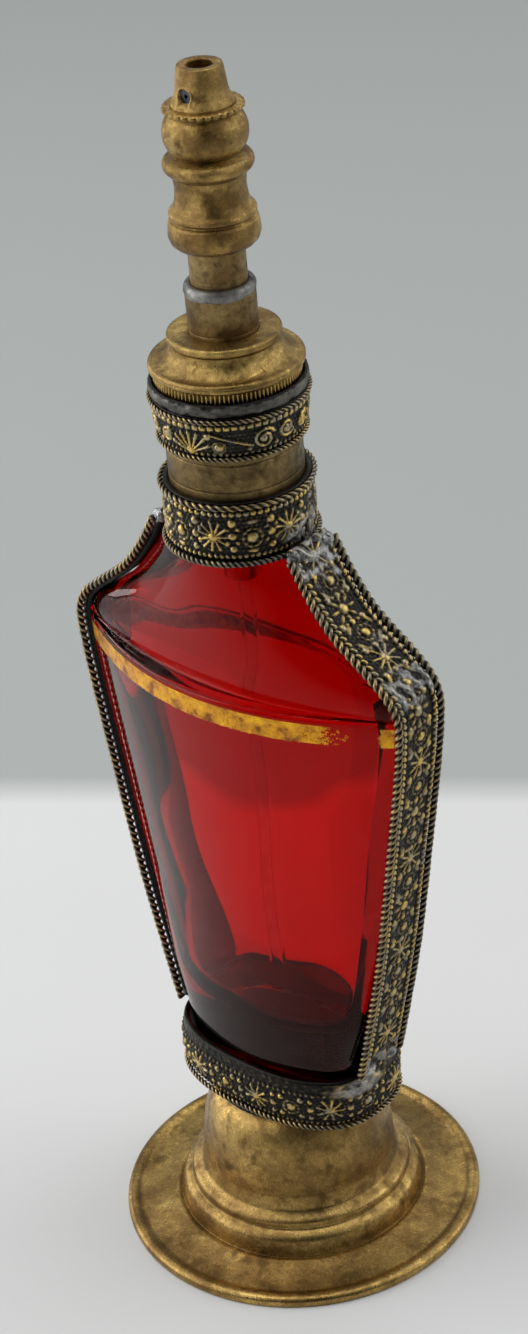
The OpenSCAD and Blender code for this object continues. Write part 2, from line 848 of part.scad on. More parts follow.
foot();
foot_solder_ring();
cup_floor();
cup_band();
cup_lower_wire();
cup_rosettes();
glass_bottle();
gilt_stripe_front();
gilt_stripe_back();
strap_left();
strap_right();
wire_left_front();
wire_left_back();
wire_right_front();
wire_right_back();
rosettes_left();
rosettes_right();
lower_band();
lower_band_top_wire();
lower_band_bottom_wire();
lower_band_rosettes();
neck_sleeve();
upper_band();
upper_band_top_wire();
upper_band_bottom_wire();
upper_band_rosettes();
collar_rim();
neck_thread_ring();
solder_joints();
screw_cap();
guide_tube();
guide_ferrule();
cap_gasket();
pump_barrel();
stem_bushing();
stem_seal();
valve_housing();
inlet_ball();
dip_tube();
return_spring();
pump_stem();
piston();
piston_seal();
piston_nut();
stem_sleeve();
outlet_ball();
spray_head();
head_bead_disc();
spray_nozzle();
head_plug();
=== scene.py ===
import functools
import math

import bpy
import numpy as np
from mathutils import Matrix, Vector


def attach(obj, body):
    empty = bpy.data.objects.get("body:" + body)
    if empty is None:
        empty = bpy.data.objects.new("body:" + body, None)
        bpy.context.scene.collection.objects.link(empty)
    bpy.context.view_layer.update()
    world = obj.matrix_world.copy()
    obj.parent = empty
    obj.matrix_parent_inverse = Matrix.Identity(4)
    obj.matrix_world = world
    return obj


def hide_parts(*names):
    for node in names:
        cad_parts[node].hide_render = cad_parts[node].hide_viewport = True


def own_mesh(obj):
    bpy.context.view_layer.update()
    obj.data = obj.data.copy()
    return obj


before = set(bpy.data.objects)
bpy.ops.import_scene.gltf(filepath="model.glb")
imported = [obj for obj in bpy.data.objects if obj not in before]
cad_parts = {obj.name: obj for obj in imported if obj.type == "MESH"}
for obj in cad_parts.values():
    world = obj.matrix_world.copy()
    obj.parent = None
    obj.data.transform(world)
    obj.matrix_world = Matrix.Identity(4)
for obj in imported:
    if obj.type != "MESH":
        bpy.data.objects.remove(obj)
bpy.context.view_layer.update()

MM = 0.001
TAU = 2 * math.pi

# Camera. Angles of the photograph, turned into the object's own frame.

LENS_MM, SENSOR_MM = 80.14, 36
CAMERA_AT = (0.2649, -0.2860, 0.3369)
PAN, TILT, ROLL, YAW = (math.radians(a) for a in (0.186, 30.919, -5.235, 42.8))


def placed(name, data):
    obj = bpy.data.objects.new(name, data)
    bpy.context.scene.collection.objects.link(obj)
    return obj


def turned(v):
    """A level direction of the camera's frame, in the object's frame."""
    c, s = math.cos(YAW), math.sin(YAW)
    return Vector((v[0] * c - v[1] * s, v[0] * s + v[1] * c, v[2]))


def make_camera():
    right = Vector((math.cos(PAN), -math.sin(PAN), 0))
    forward = Vector((math.sin(PAN) * math.cos(TILT), math.cos(PAN) * math.cos(TILT),
                      -math.sin(TILT)))
    up = right.cross(forward)
    right2 = turned(math.cos(ROLL) * right + math.sin(ROLL) * up)
    up2 = turned(math.cos(ROLL) * up - math.sin(ROLL) * right)
    back = -turned(forward)
    data = bpy.data.cameras.new("camera")
    data.lens = LENS_MM
    data.sensor_width = SENSOR_MM
    data.clip_start = 0.01
    cam = placed("camera", data)
    m = Matrix((right2, up2, back)).transposed().to_4x4()
    m.translation = Vector(CAMERA_AT)
    cam.matrix_world = m
    bpy.context.scene.camera = cam


make_camera()
VIEW_RIGHT = turned(Vector((1, 0, 0)))
VIEW_BACK = -turned(Vector((0, 1, 0)))

# Materials


class Nodes:
    """A short way to write a node material."""

    def __init__(self, name):
        self.mat = bpy.data.materials.new(name)
        self.mat.use_nodes = True
        self.tree = self.mat.node_tree
        self.shader = self.tree.nodes["Principled BSDF"]
        self.out = self.tree.nodes["Material Output"]

    def new(self, kind, **values):
        node = self.tree.nodes.new(kind)
        for key, value in values.items():
            setattr(node, key, value)
        return node

    def link(self, a, b):
        self.tree.links.new(a, b)

    def object_position(self):
        return self.new("ShaderNodeTexCoord").outputs["Object"]

    def noise(self, scale, detail=3.0, rough=0.55, vector=None, distortion=0.0):
        n = self.new("ShaderNodeTexNoise")
        for key, value in (("Scale", scale), ("Detail", detail), ("Roughness", rough),
                           ("Distortion", distortion)):
            n.inputs[key].default_value = value
        self.link(vector or self.object_position(), n.inputs["Vector"])
        return n.outputs["Fac"]

    def math(self, op, a, b=None):
        n = self.new("ShaderNodeMath", operation=op)
        for i, v in enumerate((a, b)):
            if v is None:
                continue
            if isinstance(v, (int, float)):
                n.inputs[i].default_value = v
            else:
                self.link(v, n.inputs[i])
        return n.outputs[0]

    def plus(self, a, b):
        return self.math("ADD", a, b)

    def times(self, a, b):
        return self.math("MULTIPLY", a, b)

    def shade(self, name, value):
        """Sets an input of the shader, or feeds it from a socket."""
        if isinstance(value, (int, float)):
            self.shader.inputs[name].default_value = value
        elif isinstance(value, tuple):
            self.shader.inputs[name].default_value = (*value, 1)
        else:
            self.link(value, self.shader.inputs[name])

    def roughness(self, fac, low, high, at=(0.3, 0.7)):
        self.shade("Roughness", self.ramp(fac, [(at[0], low), (at[1], high)]))

    def ramp(self, fac, stops):
        n = self.new("ShaderNodeValToRGB")
        el = n.color_ramp.elements
        while len(el) < len(stops):
            el.new(0.5)
        for e, (at, colour) in zip(el, stops):
            e.position = at
            c = colour if isinstance(colour, tuple) else (colour,) * 3
            e.color = (*c, 1)
        self.link(fac, n.inputs["Fac"])
        return n.outputs["Color"]

    def mix(self, fac, a, b):
        n = self.new("ShaderNodeMix", data_type="RGBA")
        for sock, v in ((n.inputs[0], fac), (n.inputs[6], a), (n.inputs[7], b)):
            if isinstance(v, (int, float)):
                sock.default_value = v
            elif isinstance(v, tuple):
                sock.default_value = (*v, 1)
            else:
                self.link(v, sock)
        return n.outputs[2]

    def attribute(self, name):
        return self.new("ShaderNodeAttribute", attribute_name=name).outputs["Fac"]

    def bump(self, height, strength=0.4, distance=0.0002):
        n = self.new("ShaderNodeBump")
        n.inputs["Strength"].default_value = strength
        n.inputs["Distance"].default_value = distance
        self.link(height, n.inputs["Height"])
        self.link(n.outputs["Normal"], self.shader.inputs["Normal"])

    def lathe_vector(self, along=1.0, round_=1.0):
        """Coordinates that run round a turned piece, so that noise becomes tool lines."""
        sep = self.new("ShaderNodeSeparateXYZ")
        self.link(self.object_position(), sep.inputs[0])
        x, y, z = sep.outputs
        radius = self.math("SQRT", self.plus(self.times(x, x), self.times(y, y)))
        comb = self.new("ShaderNodeCombineXYZ")
        self.link(self.times(radius, along), comb.inputs[0])
        self.link(self.times(z, along), comb.inputs[1])
        self.link(self.times(self.math("ARCTAN2", y, x), 0.01 * round_), comb.inputs[2])
        return comb.outputs[0]


BRASS = (0.43, 0.275, 0.088)
BRASS_BRIGHT = (0.68, 0.455, 0.145)
BRASS_BROWN = (0.150, 0.085, 0.028)
RED_BROWN = (0.20, 0.110, 0.040)
BRASS_DARK = (0.045, 0.034, 0.022)
PEWTER_DARK = (0.030, 0.029, 0.028)
SOLDER = (0.40, 0.40, 0.395)


def turned_metal(name, base, stain, bright, rough=0.30, tone=0.5, line=1.0, blotch=1.0):
    """Spun or turned metal: tool lines round the axis, stains and rubbed places."""
    n = Nodes(name)
    n.shade("Metallic", 1.0)
    lines = n.noise(900, 4, 0.6, n.lathe_vector(2.2 * line, 30))
    wide = n.noise(95 * blotch, 5, 0.62)
    small = n.noise(520 * blotch, 4, 0.65)
    spot = n.noise(260 * blotch, 2, 0.5)
    dark = tuple(0.45 * c for c in stain)
    bend = n.new("ShaderNodeNewGeometry").outputs["Pointiness"]
    bend = n.plus(bend, n.times(n.math("SUBTRACT", small, 0.5), 0.04))
    patina = n.ramp(wide, [(0.34 + 0.2 * (tone - 0.5), stain), (0.50, base), (0.66, bright)])
    # stains and tool lines, then grime in the hollows and crests rubbed bright
    for fac, low, low_share, high, high_share, colour in (
            (n.noise(140, 3, 0.6), 0.52, 0.0, 0.66, 0.6, RED_BROWN),
            (small, 0.46, 0.0, 0.72, 0.85, stain), (spot, 0.58, 0.0, 0.74, 0.75, dark),
            (lines, 0.38, 0.70, 0.54, 0.0, stain), (lines, 0.58, 0.0, 0.70, 0.65, bright),
            (bend, 0.440, 0.85, 0.495, 0.0, dark), (bend, 0.515, 0.0, 0.575, 0.7, bright)):
        patina = n.mix(n.ramp(fac, [(low, low_share), (high, high_share)]), patina, colour)
    n.shade("Base Color", patina)
    n.roughness(small, rough * 0.8, min(1.0, rough * 1.7))
    n.bump(n.plus(n.times(lines, 0.8), n.times(small, 0.45)), 0.50, 0.00018)
    return n.mat


def stamped_metal(name, ground, mid, high, tint=0.0, rough=0.38, worn=(0.36, 0.35, 0.32)):
    """Stamped and soldered trim: dark in the ground, as tarnish and as painted shade in the
    crevices; rubbed bright on what stands up.
    """
    n = Nodes(name)
    n.shade("Metallic", 1.0)
    relief = n.attribute("relief")
    wide = n.noise(170, 3, 0.6)
    fine = n.noise(1500, 4, 0.7)
    grey = n.noise(110, 3, 0.6, distortion=0.6)
    height = n.plus(relief, n.times(n.math("SUBTRACT", fine, 0.5), 0.55))
    height = n.plus(height, n.times(n.math("SUBTRACT", wide, 0.5), 0.35))
    warm = n.noise(430, 2, 0.5)
    top = n.mix(n.ramp(warm, [(0.42, 0.0), (0.58, 1.0)]), worn, high)
    # low relief gets the near-black ground colour: part tarnish, part painted shade in the
    # crevices
    col = n.mix(n.ramp(height, [(0.50, 0.0), (0.86, 1.0)]),
                n.ramp(height, [(0.20, ground), (0.60, mid)]), top)
    patch = n.ramp(n.plus(grey, tint), [(0.56, 0.0), (0.66, 0.75)])
    silver = n.mix(n.ramp(fine, [(0.35, 0.0), (0.65, 1.0)]), (0.11, 0.11, 0.105), SOLDER)
    patch = n.times(patch, n.ramp(height, [(0.20, 0.15), (0.6, 1.0)]))
    patch = n.math("MAXIMUM", patch, n.ramp(n.attribute("solder"), [(0.25, 0.0), (0.6, 0.9)]))
    n.shade("Base Color", n.mix(patch, col, silver))
    n.roughness(fine, rough * 0.8, min(1.0, rough * 1.7), (0.3, 0.72))
    n.bump(n.plus(fine, n.times(wide, 0.5)), 0.45, 0.00022)
    return n.mat


def solder_metal(name, colour=SOLDER, rough=0.36):
    n = Nodes(name)
    n.shade("Metallic", 1.0)
    wide = n.noise(260, 4, 0.6)
    fine = n.noise(1600, 4, 0.7)
    dark = tuple(0.22 * c for c in colour)
    light = tuple(1.25 * c for c in colour)
    n.shade("Base Color", n.ramp(wide, [(0.36, dark), (0.50, colour), (0.8, light)]))
    n.roughness(fine, rough * 0.8, rough * 1.8)
    n.bump(n.plus(wide, n.times(fine, 0.5)), 0.6, 0.0004)
    return n.mat


def glass_metal():
    n = Nodes("ruby_glass")
    n.shade("Base Color", (1, 1, 1))
    n.shade("Transmission Weight", 1.0)
    n.shade("IOR", 1.50)
    n.shade("Specular Tint", (0.50, 0.19, 0.16))
    n.roughness(n.noise(60, 3, 0.6), 0.0, 0.05, (0.45, 0.85))
    n.bump(n.noise(34, 2, 0.5), 0.05, 0.0008)
    absorb = n.new("ShaderNodeVolumeAbsorption")
    absorb.inputs["Color"].default_value = (0.925, 0.02, 0.015, 1)
    absorb.inputs["Density"].default_value = 1150
    n.link(absorb.outputs[0], n.out.inputs["Volume"])
    return n.mat


def gilding():
    n = Nodes("gilding")
    n.shade("Metallic", 0.7)
    a = n.noise(420, 4, 0.65)
    b = n.noise(1500, 3, 0.7)
    col = n.ramp(a, [(0.34, (0.24, 0.07, 0.010)), (0.50, (0.74, 0.32, 0.016)),
                     (0.70, (1.0, 0.56, 0.020))])
    worn = n.ramp(b, [(0.56, 0.0), (0.70, 0.65)])
    n.shade("Base Color", n.mix(worn, col, (0.30, 0.06, 0.008)))
    n.roughness(b, 0.22, 0.5)
    n.bump(b, 0.3, 0.0001)
    return n.mat


def plain(name, colour, second, rough=0.4, metallic=0.0, scale=400, transmission=0.0,
          ior=1.5):
    n = Nodes(name)
    n.shade("IOR", ior)
    n.shade("Metallic", metallic)
    n.shade("Transmission Weight", transmission)
    f = n.noise(scale, 4, 0.6)
    n.shade("Base Color", n.ramp(f, [(0.35, second), (0.65, colour)]))
    n.roughness(f, rough * 0.8, min(1.0, rough * 1.3))
    n.bump(n.noise(scale * 3, 3, 0.6), 0.2, 0.00008)
    return n.mat


M = {
    "foot_brass": turned_metal("foot_brass", BRASS, BRASS_BROWN, BRASS_BRIGHT, 0.24, 0.5),
    "head_brass": turned_metal("head_brass", (0.39, 0.250, 0.078), BRASS_BROWN,
                               (0.66, 0.45, 0.150), 0.26, 0.66, 1.0, 1.6),
    "cap_brass": turned_metal("cap_brass", (0.44, 0.295, 0.092), BRASS_BROWN,
                              (0.72, 0.50, 0.165), 0.26, 0.5, 1.2, 1.5),
    "guide_brass": turned_metal("guide_brass", (0.27, 0.185, 0.075), (0.10, 0.060, 0.025),
                                (0.42, 0.30, 0.12), 0.32, 0.7, 1.0, 1.8),
    # a darkened copy of the brass for the neck sleeve between the bands: painted shade
    "shaded_sleeve_brass": turned_metal("shaded_sleeve_brass", (0.19, 0.132, 0.055), (0.07, 0.045, 0.020),
                                 (0.36, 0.25, 0.095), 0.30, 0.6, 1.0, 1.4),
    "filigree": stamped_metal("filigree", (0.022, 0.021, 0.020), (0.150, 0.115, 0.060),
                              (0.66, 0.46, 0.14), -0.06, 0.32, (0.38, 0.33, 0.22)),
    "rope": stamped_metal("rope", BRASS_DARK, (0.15, 0.112, 0.062), (0.44, 0.325, 0.150),
                          -0.08, 0.32, (0.27, 0.235, 0.17)),
    # a darker copy of the rope finish: painted shade for the ropes on the strap backs and the
    # rope under the lower band
    "shaded_rope": stamped_metal("shaded_rope", PEWTER_DARK, (0.12, 0.100, 0.068),
                               (0.32, 0.26, 0.15), -0.06, 0.38, (0.24, 0.22, 0.18)),
    # the collar: its own dark pewter, darkened further with painted shadow
    "collar": stamped_metal("collar", PEWTER_DARK, (0.055, 0.053, 0.049),
                            (0.17, 0.16, 0.14), -0.05, 0.48, (0.11, 0.105, 0.097)),
    "ferrule": solder_metal("ferrule", (0.27, 0.265, 0.25), 0.44),
    "solder": solder_metal("solder"),
    "glass": glass_metal(),
    "gilding": gilding(),
    "old_brass": turned_metal("old_brass", (0.30, 0.21, 0.10), BRASS_BROWN, BRASS, 0.35, 0.6),
    "steel": plain("pump_steel", (0.60, 0.60, 0.61), (0.46, 0.46, 0.47), 0.28, 1.0),
    "rubber": plain("seal_rubber", (0.025, 0.024, 0.023), (0.045, 0.043, 0.042), 0.65),
    "tube": plain("dip_tube_plastic", (0.98, 0.97, 0.95), (0.93, 0.92, 0.90), 0.06, 0.0, 500,
                  1.0, 1.04),
    "nozzle": plain("nozzle_insert", (0.030, 0.040, 0.075), (0.016, 0.020, 0.035), 0.35),
}

# Mesh building. Points are in millimetres, in the object's frame.


def grid_mesh(name, points, wrap_u=False, wrap_v=False, caps=False, relief=None,
              sharp=None, keep=None, solder=None):
    """A mesh over a grid of points; closed where wrapped, with flat caps at the u ends."""
    nu, nv = points.shape[:2]
    iu = np.arange(nu if wrap_u else nu - 1)[:, None]
    iv = np.arange(nv if wrap_v else nv - 1)[None, :]
    a = iu * nv + iv
    b = iu * nv + (iv + 1) % nv
    c = ((iu + 1) % nu) * nv + (iv + 1) % nv
    d = ((iu + 1) % nu) * nv + iv
    quads = np.stack([a, b, c, d], -1)
    quads = quads.reshape(-1, 4) if keep is None else quads[keep]
    verts = points.reshape(-1, 3) * MM
    p, q, r, s = (verts[quads[:, k]] for k in range(4))
    volume = np.einsum("ij,ij->i", p, np.cross(q, r)).sum()
    volume += np.einsum("ij,ij->i", p, np.cross(r, s)).sum()
    faces = quads.tolist()
    if caps:
        faces.append(list(range(nv))[::-1])
        faces.append([(nu - 1) * nv + i for i in range(nv)])
    mesh = bpy.data.meshes.new(name)
    mesh.from_pydata(verts.tolist(), [], faces)
    closed = (wrap_u and wrap_v) or caps
    if closed and volume < 0:
        mesh.flip_normals()
    mesh.polygons.foreach_set("use_smooth", [True] * len(mesh.polygons))
    if sharp:
        mesh.set_sharp_from_angle(angle=math.radians(sharp))
    for label, values in (("relief", relief), ("solder", solder)):
        if values is not None:
            layer = mesh.attributes.new(label, "FLOAT", "POINT")
            layer.data.foreach_set("value", unit(values).ravel().astype(np.float32))
    mesh.update()
    return placed(name, mesh)


def finish_piece(obj, material, body, slot, *nodes):
    obj.data.materials.clear()
    obj.data.materials.append(M[material])
    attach(obj, body)
    if nodes:
        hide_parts(*nodes)
    return obj


def unit(x):
    return np.clip(x, 0, 1)


def most(*heights):
    """The highest of several relief fields at each point."""
    return functools.reduce(np.maximum, heights)


def arc(r, z, size_r, size_z, degrees):
    """Outline points of an oval arc about (r, z)."""
    return [(r + size_r * math.cos(math.radians(a)), z + size_z * math.sin(math.radians(a)))
            for a in degrees]


def about_axis(r, a, z):
    return np.stack([r * np.cos(a), r * np.sin(a), z], -1)


def softened(points, reach):
    """A closed outline with each corner rounded over at most the given reach."""
    out = []
    n = len(points)
    for i in range(n):
        p, q, r = (np.array(points[(i + k) % n], float) for k in (-1, 0, 1))
        a, b = p - q, r - q
        la, lb = np.linalg.norm(a), np.linalg.norm(b)
        d = min(reach, 0.35 * la, 0.35 * lb)
        s, e = q + a / la * d, q + b / lb * d
        out += [s, 0.25 * s + 0.5 * q + 0.25 * e, e]
    return np.array(out)


def lathe(name, outline, segments=160, reach=0.15, relief=None, shift=None):
    """A turned solid from a closed outline of (radius, height) points."""
    prof = softened(outline, reach)
    ang = np.arange(segments) / segments * TAU
    rad = np.repeat(prof[None, :, 0], segments, 0)
    z = np.repeat(prof[None, :, 1], segments, 0)
    ang2 = np.repeat(ang[:, None], len(prof), 1)
    if shift is not None:
        rad, z = shift(ang2, rad, z)
    rel = relief(ang2, rad, z) if relief else None
    return grid_mesh(name, about_axis(rad, ang2, z), True, True, relief=rel)


def catmull(points, steps):
    p = np.array(points, float)
    out = []
    for i in range(len(p) - 1):
        a, b, c, d = p[max(i - 1, 0)], p[i], p[i + 1], p[min(i + 2, len(p) - 1)]
        for k in range(steps):
            t = k / steps
            out.append(0.5 * (2 * b + (c - a) * t + (2 * a - 5 * b + 4 * c - d) * t * t
                              + (3 * b - a - 3 * c + d) * t ** 3))
    out.append(p[-1])
    return np.array(out)


def lengths(p):
    step = np.linalg.norm(np.diff(p, axis=0), axis=1)
    return np.concatenate([[0], np.cumsum(step)])


def resample(p, s):
    """Points of a line at the distances s along it."""
    at = lengths(p)
    return np.stack([np.interp(s, at, p[:, k]) for k in range(p.shape[1])], -1)


def plane_normals(p, closed=False):
    if closed:
        t = np.roll(p, -1, 0) - np.roll(p, 1, 0)
    else:
        t = np.gradient(p, axis=0)
    t /= np.linalg.norm(t, axis=1)[:, None]
    return np.stack([-t[:, 1], t[:, 0]], -1)


WAVES, WAVE_SHARE = 7, 3.2


def smooth_noise(u, v, scale, seed):
    """A sum of sine waves over a surface, mostly between -1 and 1 and at most 2.2."""
    out = np.zeros_like(u)
    g = np.random.default_rng(seed)
    for _ in range(WAVES):
        a = g.uniform(0, TAU)
        f = g.uniform(0.6, 1.9) * TAU / scale
        out += np.sin(f * (u * math.cos(a) + v * math.sin(a)) + g.uniform(0, TAU))
    return out / WAVE_SHARE


# Ornament heights over a flat field, in millimetres


def grains(u, v):
    """Small punched grains that fill the ground between the ornaments."""
    pitch, r, h = 0.74, 0.27, 0.17
    row = np.round(v / (pitch * 0.87))
    shifted = u + (row % 2) * pitch / 2
    cu = np.round(shifted / pitch) * pitch
    return dome(shifted, v, cu, row * pitch * 0.87, r, h)


def dome(u, v, cu, cv, r, h):
    q = ((u - cu) ** 2 + (v - cv) ** 2) / r ** 2
    return h * np.sqrt(unit(1 - q))


def rays(u, v, cu, cv, r, count, h, width=0.28, start=0.0, span=None, inner=0.22):
    """Thin rays round a centre, all round or over one span of angle."""
    du, dv = u - cu, v - cv
    rho = np.hypot(du, dv)
    th = np.arctan2(dv, du) - start
    step = TAU / count
    off = (th / step - np.round(th / step)) * step
    side = np.abs(rho * np.sin(off))
    w = width * (0.35 + 0.65 * rho / r)
    ridge = np.sqrt(unit(1 - (side / w) ** 2))
    fall = unit((r - rho) / (0.15 * r)) * unit((rho - inner * r * 0.6) / 0.1)
    out = h * ridge * np.sqrt(fall)
    if span is not None:
        wrapped = (th + math.pi) % TAU - math.pi
        out = out * (np.abs(wrapped) <= span)
    return out


def ring(u, v, cu, cv, r, w, h):
    rho = np.hypot(u - cu, v - cv)
    return h * np.sqrt(unit(1 - ((rho - r) / w) ** 2))


def scroll(u, v, cu, cv, r, w, h, turn=1, start=0.0):
    """A spiral ridge winding in to its centre."""
    du, dv = u - cu, (v - cv) * turn
    rho = np.hypot(du, dv)
    th = (np.arctan2(dv, du) - start) % TAU
    out = np.zeros_like(u)
    for k in range(2):
        target = r * (1 - (th + TAU * k) / (TAU * 2.1))
        out = np.maximum(out, np.sqrt(unit(1 - ((rho - target) / w) ** 2)))
    return h * out * (rho < r * 1.15)


def stroke(u, v, u0, v0, u1, v1, w, h):
    """A straight ridge between two points."""
    d = np.array([u1 - u0, v1 - v0])
    t = unit(((u - u0) * d[0] + (v - v0) * d[1]) / (d @ d))
    dist = np.hypot(u - u0 - t * d[0], v - v0 - t * d[1])
    return h * np.sqrt(unit(1 - (dist / w) ** 2))


def bead_row(u, v, cv, pitch, r, h, flat=False):
    cu = np.round(u / pitch) * pitch
    if flat:
        side = unit(1 - (np.abs(u - cu) / r) ** 6)
        return h * side * np.sqrt(unit(1 - ((v - cv) / r) ** 2))
    return dome(u, v, cu, cv, r, h)


def flower(u, v, cu, cv, r, count, turn=0.0):
    """A stamped star flower: thin petals round a domed middle."""
    return most(rays(u, v, cu, cv, r, count, 0.42, 0.30, turn),
                dome(u, v, cu, cv, 0.30 * r, 0.55), ring(u, v, cu, cv, 0.36 * r, 0.10, 0.30))


def button(u, v, cu, cv, r):
    """A round rosette: a ring of beads about a dome."""
    rho = np.hypot(u - cu, v - cv)
    th = np.arctan2(v - cv, u - cu)
    beads = 0.5 + 0.5 * np.cos(10 * th)
    out = ring(u, v, cu, cv, 0.82 * r, 0.24, 0.34) * (0.55 + 0.45 * beads)
    return np.maximum(out, dome(u, v, cu, cv, 0.52 * r, 0.52) * (rho < 0.52 * r))


def leaf(u, v, cu, cv, r, angle):
    du, dv = u - cu, v - cv
    a = du * math.cos(angle) + dv * math.sin(angle)
    b = -du * math.sin(angle) + dv * math.cos(angle)
    q = (a / r) ** 2 + (b / (0.38 * r)) ** 2
    body = np.sqrt(unit(1 - q))
    return 0.40 * body * (0.72 + 0.28 * unit(np.abs(b) / (0.12 * r)))


# The frame's outline, as in the CAD model

FRAME_LINE = [(12.0, 130.6), (14.0, 128.6), (17.0, 123.6), (21.0, 118.5), (26.0, 114.6),
              (30.0, 111.3), (32.0, 108.3), (32.5, 104.5), (31.6, 96), (29.0, 80),
              (25.6, 60), (22.4, 45.5), (19.9, 35.0)]
STRAP_INSET = 0.9
STRAP_T = 1.0
STRAP_HALF = 4.3
WIRE_R = 0.75
WIRE_Y = 5.0
GLASS_INSET = 2.2

outer_line = catmull(FRAME_LINE, 12)


def inset(line, d):
    return line - d * plane_normals(line)


strap_line = inset(outer_line, STRAP_INSET)
strap_line = strap_line[strap_line[:, 0] >= 12.15]
wire_line = inset(outer_line, WIRE_R + 0.05)
wire_line = wire_line[12:]
glass_line = inset(outer_line, GLASS_INSET)[::-1]


def glass_half(z):
    return np.interp(z, glass_line[:, 1], glass_line[:, 0])


# Ropes of two strands


ROPE_STEPS, STRAND_SIDES = 11, 8


def rope_strands(name, path, across, out, pitch, radius, closed, material, body, slot, *nodes):
    """Two strands twisted about a path; across and out are unit vectors at each point."""
    strand_r = 0.60 * radius
    offset = radius - strand_r

    def shut(values):
        return np.vstack([values, values[:1]]) if closed else values

    at = lengths(shut(path))
    total = at[-1]
    turns = max(1, round(total / pitch))
    n = turns * ROPE_STEPS
    s = np.arange(n if closed else n + 1) / n * total

    def along(values):
        v = shut(values)
        return np.stack([np.interp(s, at, v[:, k]) for k in range(3)], -1)

    centre, e1, e2 = along(path), along(across), along(out)
    angle = s / total * turns * TAU
    ring_a = np.arange(STRAND_SIDES) / STRAND_SIDES * TAU
    parts, reliefs = [], []
    wob = 1 + 0.06 * smooth_noise(s, s * 0, 9.0, len(name))
    for k in range(2):
        a = angle + k * math.pi
        c = centre + offset * (np.cos(a)[:, None] * e1 + np.sin(a)[:, None] * e2)
        rr = strand_r * wob[:, None, None]
        p = c[:, None, :] + rr * (np.cos(ring_a)[None, :, None] * e1[:, None, :]
                                  + np.sin(ring_a)[None, :, None] * e2[:, None, :])
        parts.append(p)
        # relief grows with distance from the rope's axis, so the material paints the valleys
        # between the strands dark: part tarnish, part painted shade
        dist = np.linalg.norm(p - centre[:, None, :], axis=2)
        reliefs.append(unit((dist - 0.62 * radius) / (0.36 * radius)))
    obj = None
    for k, (p, rel) in enumerate(zip(parts, reliefs)):
        o = grid_mesh(f"{name}_{'ab'[k]}", p, closed, True, not closed, rel)
        finish_piece(o, material, body, slot, *(nodes if k == 0 else ()))
        obj = obj or o
    return obj


def side_ropes():
    p = wire_line
    n = plane_normals(p)
    for side, sx in (("right", 1), ("left", -1)):
        for face, y in (("front", -WIRE_Y), ("back", WIRE_Y)):
            path = np.stack([sx * p[:, 0], np.full(len(p), y), p[:, 1]], -1)
            out = np.stack([sx * n[:, 0], np.zeros(len(p)), n[:, 1]], -1)
            across = np.repeat([[0.0, 1.0, 0.0]], len(p), 0)
            # the back ropes take the darker copy of the rope finish: painted shade
            rope_strands(f"rope_{side}_{face}", path, across, out, 2.5, WIRE_R - 0.05, False,
                         "rope" if face == "front" else "shaded_rope", "bottle",
                         "twisted_wire", f"wire_{side}_{face}")


def ring_rope(name, radius, z, wire, pitch, material, node, slot="twisted_wire"):
    a = np.arange(180) / 180 * TAU
    out = np.stack([np.cos(a), np.sin(a), a * 0], -1)
    path = radius * out + np.array([0, 0, z])
    across = np.repeat([[0.0, 0.0, 1.0]], len(a), 0)
    rope_strands(name, path, across, out, pitch, wire, True, material, "bottle", slot, node)


side_ropes()
ring_rope("rope_band_top", 11.42, 137.1, 0.50, 2.6, "rope", "lower_band_top_wire")
# the lowest band rope takes the darker copy of the rope finish: painted shade
ring_rope("rope_band_low", 11.5, 127.9, 0.50, 1.8, "shaded_rope", "lower_band_bottom_wire")
ring_rope("rope_neck_top", 11.75, 151.0, 0.38, 1.9, "rope", "upper_band_top_wire")
ring_rope("rope_neck_low", 10.95, 144.72, 0.40, 1.7, "rope", "upper_band_bottom_wire")

# Stamped side straps


def strap_height(u, v, total, seed):
    """Relief of a strap: beaded borders, with flowers and rosettes between them."""
    g = np.random.default_rng(seed)
    slant = u + 0.55 * v * np.sign(v)
    h = most(bead_row(slant, v, -3.68, 1.15, 0.54, 0.50),
             bead_row(slant, v, 3.68, 1.15, 0.54, 0.50), grains(u, v) * (np.abs(v) < 3.1))
    pitch = total / round(total / 4.7)
    count = int(round(total / pitch))
    for k in range(count):
        cu = (k + 0.5) * pitch + g.uniform(-0.15, 0.15)
        cv = g.uniform(-0.25, 0.25)
        near = np.abs(u - cu) < 4.5
        part = np.zeros_like(u)
        uu, vv = u[near], v[near]
        if k % 4 == 0:
            q = flower(uu, vv, cu, cv, 2.7, 9, g.uniform(0, 1))
        elif k % 2 == 0:
            spins = np.arange(8) / 8 * TAU
            q = most(dome(uu, vv, cu, cv, 0.95, 0.56),
                     *(leaf(uu, vv, cu + 1.75 * math.cos(a), cv + 1.75 * math.sin(a), 0.95, a)
                       for a in spins))
        else:
            q = most(button(uu, vv, cu, cv + 0.3, 1.65),
                     *(leaf(uu, vv, cu - 1.6 * su, cv + 2.1 * sv, 1.25, 0.6 * su * sv)
                       for sv in (-1, 1) for su in (1, -1)))
        mid = cu + pitch / 2
        for sv in (-1, 1):
            q = most(q, dome(uu, vv, mid, cv + 2.25 * sv, 0.66, 0.50),
                     dome(uu, vv, mid, cv + 1.15 * sv, 0.40, 0.38))
        q = most(q, dome(uu, vv, mid, cv, 0.62, 0.46))
        part[near] = q
        h = most(h, part)
    ground = 0.05 * smooth_noise(u, v, 1.3, seed + 1) + 0.04 * smooth_noise(u, v, 0.7, seed + 2)
    return h + ground * np.clip(1 - h * 1.5, 0.2, 1)


